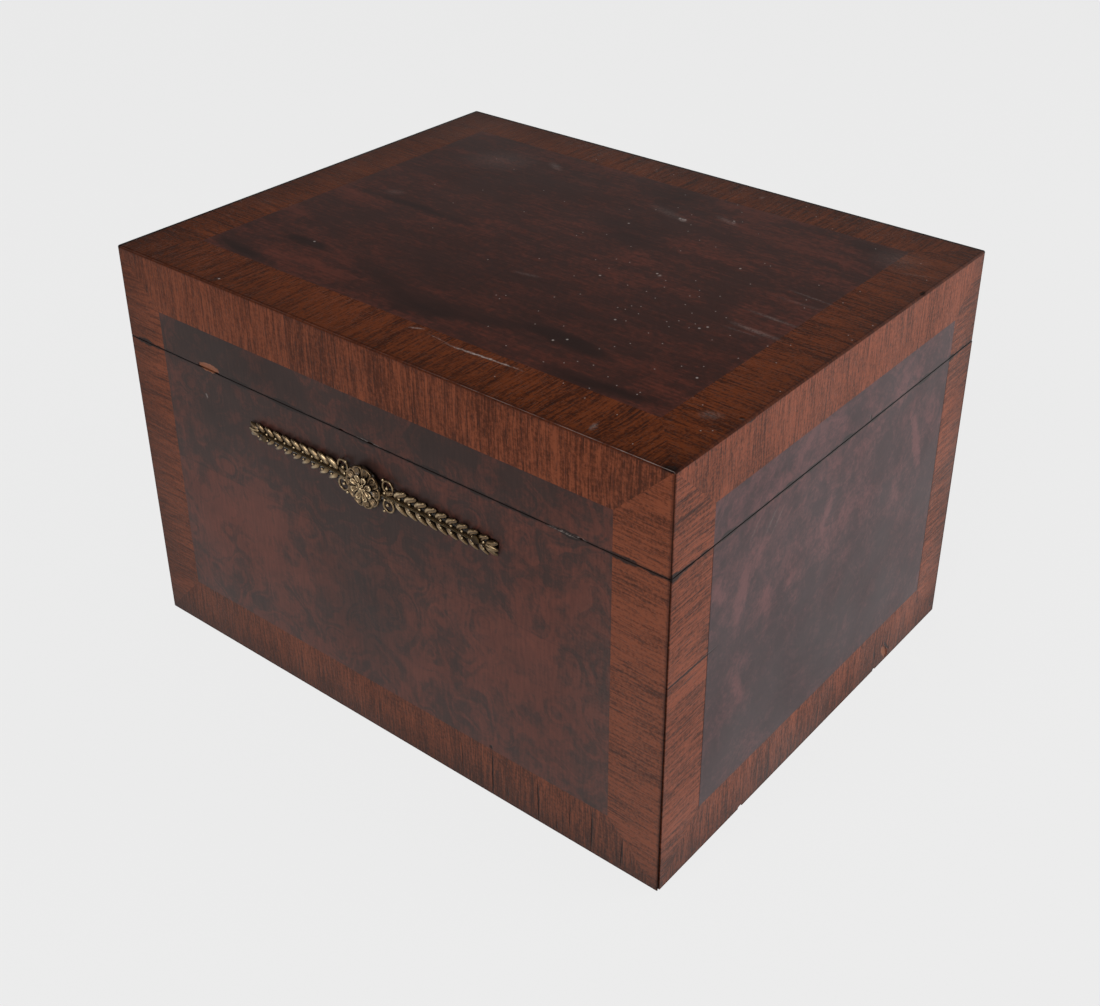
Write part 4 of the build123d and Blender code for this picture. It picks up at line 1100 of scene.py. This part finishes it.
class PUZZLE_BOX_OT_add_worn_veneer(bpy.types.Operator):
    """Models the veneer that is chipped or shrunk: the lid's front burl and the right side's border"""

    bl_idname = "puzzle_box.add_worn_veneer"
    bl_label = "Add Worn Veneer"

    def execute(self, context):
        low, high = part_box("lid_front_burl")
        joint = FACES["front"]["joint"][0] * MM
        left = veneer_strip("left_leaf", low, (joint, high[1], high[2]))
        right = veneer_strip("right_leaf", (joint, low[1], low[2]), high)
        chip_middle = (-97.5 * MM, low[1], low[2] - 0.2 * MM)
        break_away(left, chip_middle, (7.6, 0.6, 3.2), seed=3, turn=(0, 0.05, 0))
        # Nicks along the seam: place along the edge and half length, in millimetres
        for leaf, along, half in ((left, -14, 1.2), (right, 3, 1.8), (right, 102, 1.5), (right, 112, 1.0)):
            break_away(leaf, (along * MM, low[1], low[2]), (half, 1.5, 0.5), seed=5)
        lid_leaves = join_as("lid_front_leaves", [left, right])
        lid_leaves.data.materials.append(bpy.data.materials["burr_walnut_front"])
        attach(lid_leaves, "lid")
        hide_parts("lid_front_burl")

        wear = context.scene.puzzle_box.veneer
        low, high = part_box("base_right_crossband")
        (front_wide, back_wide), (foot_wide, _) = (in_metres(*pair) for pair in FACES["right"]["band"])
        mitre = foot_wide - low[2]
        front_end, back_end = low[1] + front_wide, high[1] - back_wide
        front = veneer_strip(
            "front_strip",
            low,
            (high[0], front_end, high[2]),
            [
                ({"y": front_end, "z": low[2]}, (0, 0, mitre)),
                ({"y": low[1], "z": low[2]}, (0, wear.gap_foot, 0)),
                ({"y": low[1], "z": high[2]}, (0, wear.gap_top, 0)),
            ],
        )
        back = veneer_strip(
            "back_strip", (low[0], back_end, low[2]), high, [({"y": back_end, "z": low[2]}, (0, 0, mitre))]
        )
        foot = veneer_strip(
            "foot_strip",
            low,
            (high[0], high[1], foot_wide),
            [
                ({"y": low[1], "z": low[2]}, (0, wear.gap_foot, 0)),
                ({"y": low[1], "z": foot_wide}, (0, front_wide, 0)),
                ({"y": high[1], "z": foot_wide}, (0, -back_wide, 0)),
            ],
        )
        break_away(foot, (high[0], 67.4 * MM, 6.2 * MM), (0.6, 2.2, 5.6), seed=7, turn=(0.6, 0, 0))
        break_away(foot, (high[0], -59.7 * MM, low[2]), (1.6, 1.6, 1.1), seed=2)
        break_away(foot, (high[0], 58 * MM, low[2]), (1.6, 1.2, 0.9), seed=4)
        border = join_as("right_side_border", [front, back, foot])
        border.data.materials.append(bpy.data.materials["mahogany_crossband_right"])
        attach(border, "base")
        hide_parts("base_right_crossband")
        return {"FINISHED"}


class PUZZLE_BOX_OT_finish_carcase(bpy.types.Operator):
    """Finishes the carcase boards and the lining inside"""

    bl_idname = "puzzle_box.finish_carcase"
    bl_label = "Finish Carcase"

    def execute(self, context):
        for along, sides in (("X", ("front", "back", "bottom", "top")), ("Y", ("left", "right"))):
            deal = board_wood(f"stained_deal_along_{along}", "7a4f33", "54321f", 5, 0.6, along)
            lining = board_wood(f"waxed_mahogany_along_{along}", "6a3a26", "45231a", 3, 0.45, along)
            for name in nodes:
                if not any(side in name.split("_") for side in sides):
                    continue
                if name.endswith(("_wall", "_board")):
                    finish_node(name, deal)
                elif name.endswith("_lining"):
                    finish_node(name, lining)
        return {"FINISHED"}


class PUZZLE_BOX_OT_finish_hardware(bpy.types.Operator):
    """Finishes the hinges, screws and the hidden bolt"""

    bl_idname = "puzzle_box.finish_hardware"
    bl_label = "Finish Hardware"

    def execute(self, context):
        brass = drawn_brass("dull_rolled_brass", "b8965a", "6a5030", 0.3)
        screws = drawn_brass("dull_brass_screws", "a8854e", "4e3a22", 0.36)
        for name in nodes:
            if "screws" in name:
                finish_node(name, screws)
            elif "hinge" in name or name.endswith(("_plate", "_plates", "_nuts", "_bar")):
                finish_node(name, brass)
        finish_node("bow_spring", spring_steel())
        return {"FINISHED"}


class PUZZLE_BOX_OT_add_leaf_mount(bpy.types.Operator):
    """Models the cast arms of leaves and scrolls that slide on the front"""

    bl_idname = "puzzle_box.add_leaf_mount"
    bl_label = "Add Leaf Mount"

    def execute(self, context):
        size = context.scene.puzzle_box.mount
        upper = plump_leaf("upper_leaf", 7.2, 3.6, 1.9, groove=0.8, curl=-1.6, lift=0.9, flare=1.12)
        lower = plump_leaf("lower_leaf", 7.8, 2.9, 1.7, curl=0.7)
        tip = plump_leaf("tip_leaf", 7.6, 3.6, 1.7, groove=0.5)
        seed = berry("axil_berry", 0.64)
        curl = scroll("c_scroll", radius=2.75, wire=0.52, sweep=315)
        rod = stem_rod("stem", 6, 68, wide=1.7, high=2.8)
        web = stem_rod("web", 6, 68, wide=8.0, high=0.7)
        # One arm, along +X: stem and web, leaf pairs that grow smaller, tips at both ends, a pair of scrolls
        arm = [(rod, turned(0, 0, 0)), (web, turned(0, 0, 0))]
        for count in range(size.leaf_pairs):
            along = (size.first_leaf + count * size.leaf_pitch) / MM
            grow = 1.0 - 0.24 * count / (size.leaf_pairs - 1)
            arm.append((upper, turned(along, 0.4, 0.5, 54, tilt=0.25, grow=grow)))
            arm.append((lower, turned(along, -0.4, 0.5, -46, tilt=-0.25, grow=grow)))
            for up in (1, -1):
                arm.append((seed, turned(along + 3.3, 2.0 * up * grow, 1.8)))
        for turn in (20, -20):
            arm.append((tip, turned(9.2, 0, 0.6, turn, grow=0.9)))
        end = (size.first_leaf + size.leaf_pairs * size.leaf_pitch) / MM - 2.6
        for turn, lift in ((0, 0.8), (24, 0.4), (-24, 0.4)):
            arm.append((tip, turned(end, 0, lift, turn, grow=0.86)))
        for up, turn in ((1, -60), (-1, 120)):
            arm.append((curl, turned(13.0, 4.5 * up, 1.3, turn, flip=up, grow=1.06)))
            for x, y, z, grow in ((12.7, 4.1, 1.5, 1.4), (10.8, 7.5, 1.6, 1.3), (11.6, 1.6, 1.9, 1.1)):
                arm.append((seed, turned(x, y * up, z, grow=grow)))
        both = [
            (pattern, Matrix.Diagonal((side, 1, 1, 1)) @ place) for side in (1, -1) for pattern, place in arm
        ]
        brass = cast_brass("cast_brass_leaves", size, 0.5, 3.7)
        whole = cast_as("leaf_mount", both, size, 0.0, brass)
        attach(whole, "mount")
        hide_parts("front_mount")
        return {"FINISHED"}


class PUZZLE_BOX_OT_add_rosette(bpy.types.Operator):
    """Models the two rings of cupped petals and the button at the mount's middle"""

    bl_idname = "puzzle_box.add_rosette"
    bl_label = "Add Rosette"

    def execute(self, context):
        size = context.scene.puzzle_box.mount
        outer = cast_leaf("outer_petal", 6.1, 5.6, 1.5, rim=0.8, hollow=1.1, point=1.6)
        heart = cast_leaf("petal_heart", 3.6, 2.5, 0.9, rim=0.5, hollow=0.5, point=1.4, sides=12)
        inner = cast_leaf(
            "inner_petal", 4.4, 3.1, 1.2, rim=0.7, hollow=0.7, tip_lift=0.1, midrib=0.4, point=1.4
        )
        lobe = cast_leaf("button_lobe", 2.4, 1.5, 0.9, rim=0.5, hollow=0.3)
        bead = berry("button_bead", 0.8)
        dish = berry("petal_dish", 6.0)
        placed = [(dish, Matrix.Diagonal((1.66, 1.66, 0.2, 1)))]
        for turn in ring_of(size.outer_petals):
            placed.append((outer, turn @ turned(3.5, 0, 0.2)))
            placed.append((heart, turn @ turned(5.2, 0, 0.7)))
        for turn in ring_of(size.inner_petals, 0.5):
            placed.append((inner, turn @ turned(1.7, 0, 1.2) @ Matrix.Rotation(-0.1, 4, "Y")))
        for turn in ring_of(6):
            placed.append((lobe, turn @ turned(0.2, 0, 1.9)))
        placed.append((bead, turned(0, 0, 2.4)))
        brass = cast_brass("cast_brass_rosette", size, 1.9, 6.3)
        whole = cast_as("rosette_flower", placed, size, 1.8, brass)
        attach(whole, "mount")
        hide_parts("rosette")
        finish_node("mount_studs", drawn_brass("blackened_brass_studs", "4a3a24", "1d140c", 0.42))
        return {"FINISHED"}


class PUZZLE_BOX_OT_set_stage(bpy.types.Operator):
    """Sets the pale floor, the soft lamps and the camera"""

    bl_idname = "puzzle_box.set_stage"
    bl_label = "Set Stage"

    def execute(self, context):
        scene = context.scene
        look = scene.puzzle_box.stage
        bpy.ops.object.select_all(action="DESELECT")
        bpy.ops.mesh.primitive_plane_add(size=FLOOR_SIZE)
        floor = bpy.context.object
        floor.name = "floor"
        made, add = new_material("pale_paper_floor")
        seen = add("LightPath", out="Is Camera Ray")
        for ray in ("Is Glossy Ray", "Is Transmission Ray"):
            seen = add("Math MAXIMUM", [seen, add("LightPath", out=ray)])
        paper = add("BsdfDiffuse", {"Color": opaque(look.pale)})
        shown = add("Emission", {"Color": opaque(look.pale), "Strength": FLOOR_LIGHT})
        share = add("Math MULTIPLY", [seen, FLOOR_SHOWN])
        add("OutputMaterial", {"Surface": add("MixShader", [share, paper, shown])})
        floor.data.materials.append(made)

        scene.world = bpy.data.worlds.new("studio")
        scene.world.use_nodes = True
        scene.world.node_tree.nodes.clear()
        add = functools.partial(shade, scene.world.node_tree)
        up = add("SeparateXYZ", [add("TexCoord", out="Generated")], "Z")
        wall = add("MapRange SMOOTHSTEP", [up, *WALL_FADE, 0.0, 1.0])
        colour = add("Mix RGBA", {0: wall, 6: opaque(look.ceiling), 7: opaque(look.pale)}, 2)
        add("OutputWorld", {"Surface": add("Background", {"Color": colour, "Strength": 1.0})})

        for name, (setting, place, (wide, high)) in LAMPS.items():
            data = bpy.data.lights.new(name, "AREA")
            data.energy = getattr(look, setting)
            data.shape = "RECTANGLE"
            data.size = wide
            data.size_y = high
            lamp = bpy.data.objects.new(name, data)
            scene.collection.objects.link(lamp)
            lamp.location = place
            lamp.rotation_euler = (BOX_MIDDLE - lamp.location).to_track_quat("-Z", "Y").to_euler()

        data = bpy.data.cameras.new("camera")
        for name, value in CAMERA.items():
            setattr(data, name, value)
        camera = bpy.data.objects.new("camera", data)
        scene.collection.objects.link(camera)
        camera.matrix_world = CAMERA_PLACE
        scene.camera = camera
        scene.view_settings.view_transform = "Standard"
        return {"FINISHED"}


class PUZZLE_BOX_PT_panel(bpy.types.Panel):
    """Lists the steps and settings of the puzzle box"""

    bl_idname = "PUZZLE_BOX_PT_panel"
    bl_label = "Puzzle Box"
    bl_space_type = "VIEW_3D"
    bl_region_type = "UI"
    bl_category = "Puzzle Box"

    def draw(self, context):
        look = context.scene.puzzle_box
        for group in (look.veneer, look.mount, look.stage):
            box = self.layout.box()
            for name in group.bl_rna.properties.keys():
                if name not in ("rna_type", "name"):
                    box.prop(group, name)
        for operator in OPERATORS:
            self.layout.operator(operator.bl_idname)


OPERATORS = (
    PUZZLE_BOX_OT_polish_veneer,
    PUZZLE_BOX_OT_add_worn_veneer,
    PUZZLE_BOX_OT_finish_carcase,
    PUZZLE_BOX_OT_finish_hardware,
    PUZZLE_BOX_OT_add_leaf_mount,
    PUZZLE_BOX_OT_add_rosette,
    PUZZLE_BOX_OT_set_stage,
)
CLASSES = (VeneerLook, MountLook, StageLook, PuzzleBoxLook, *OPERATORS, PUZZLE_BOX_PT_panel)


def register():
    for made in CLASSES:
        bpy.utils.register_class(made)
    bpy.types.Scene.puzzle_box = PointerProperty(type=PuzzleBoxLook)


def unregister():
    del bpy.types.Scene.puzzle_box
    for made in reversed(CLASSES):
        bpy.utils.unregister_class(made)


def main():
    register()
    bpy.ops.puzzle_box.polish_veneer()
    bpy.ops.puzzle_box.add_worn_veneer()
    bpy.ops.puzzle_box.finish_carcase()
    bpy.ops.puzzle_box.finish_hardware()
    bpy.ops.puzzle_box.add_leaf_mount()
    bpy.ops.puzzle_box.add_rosette()
    bpy.ops.puzzle_box.set_stage()


if __name__ == "__main__":
    main()
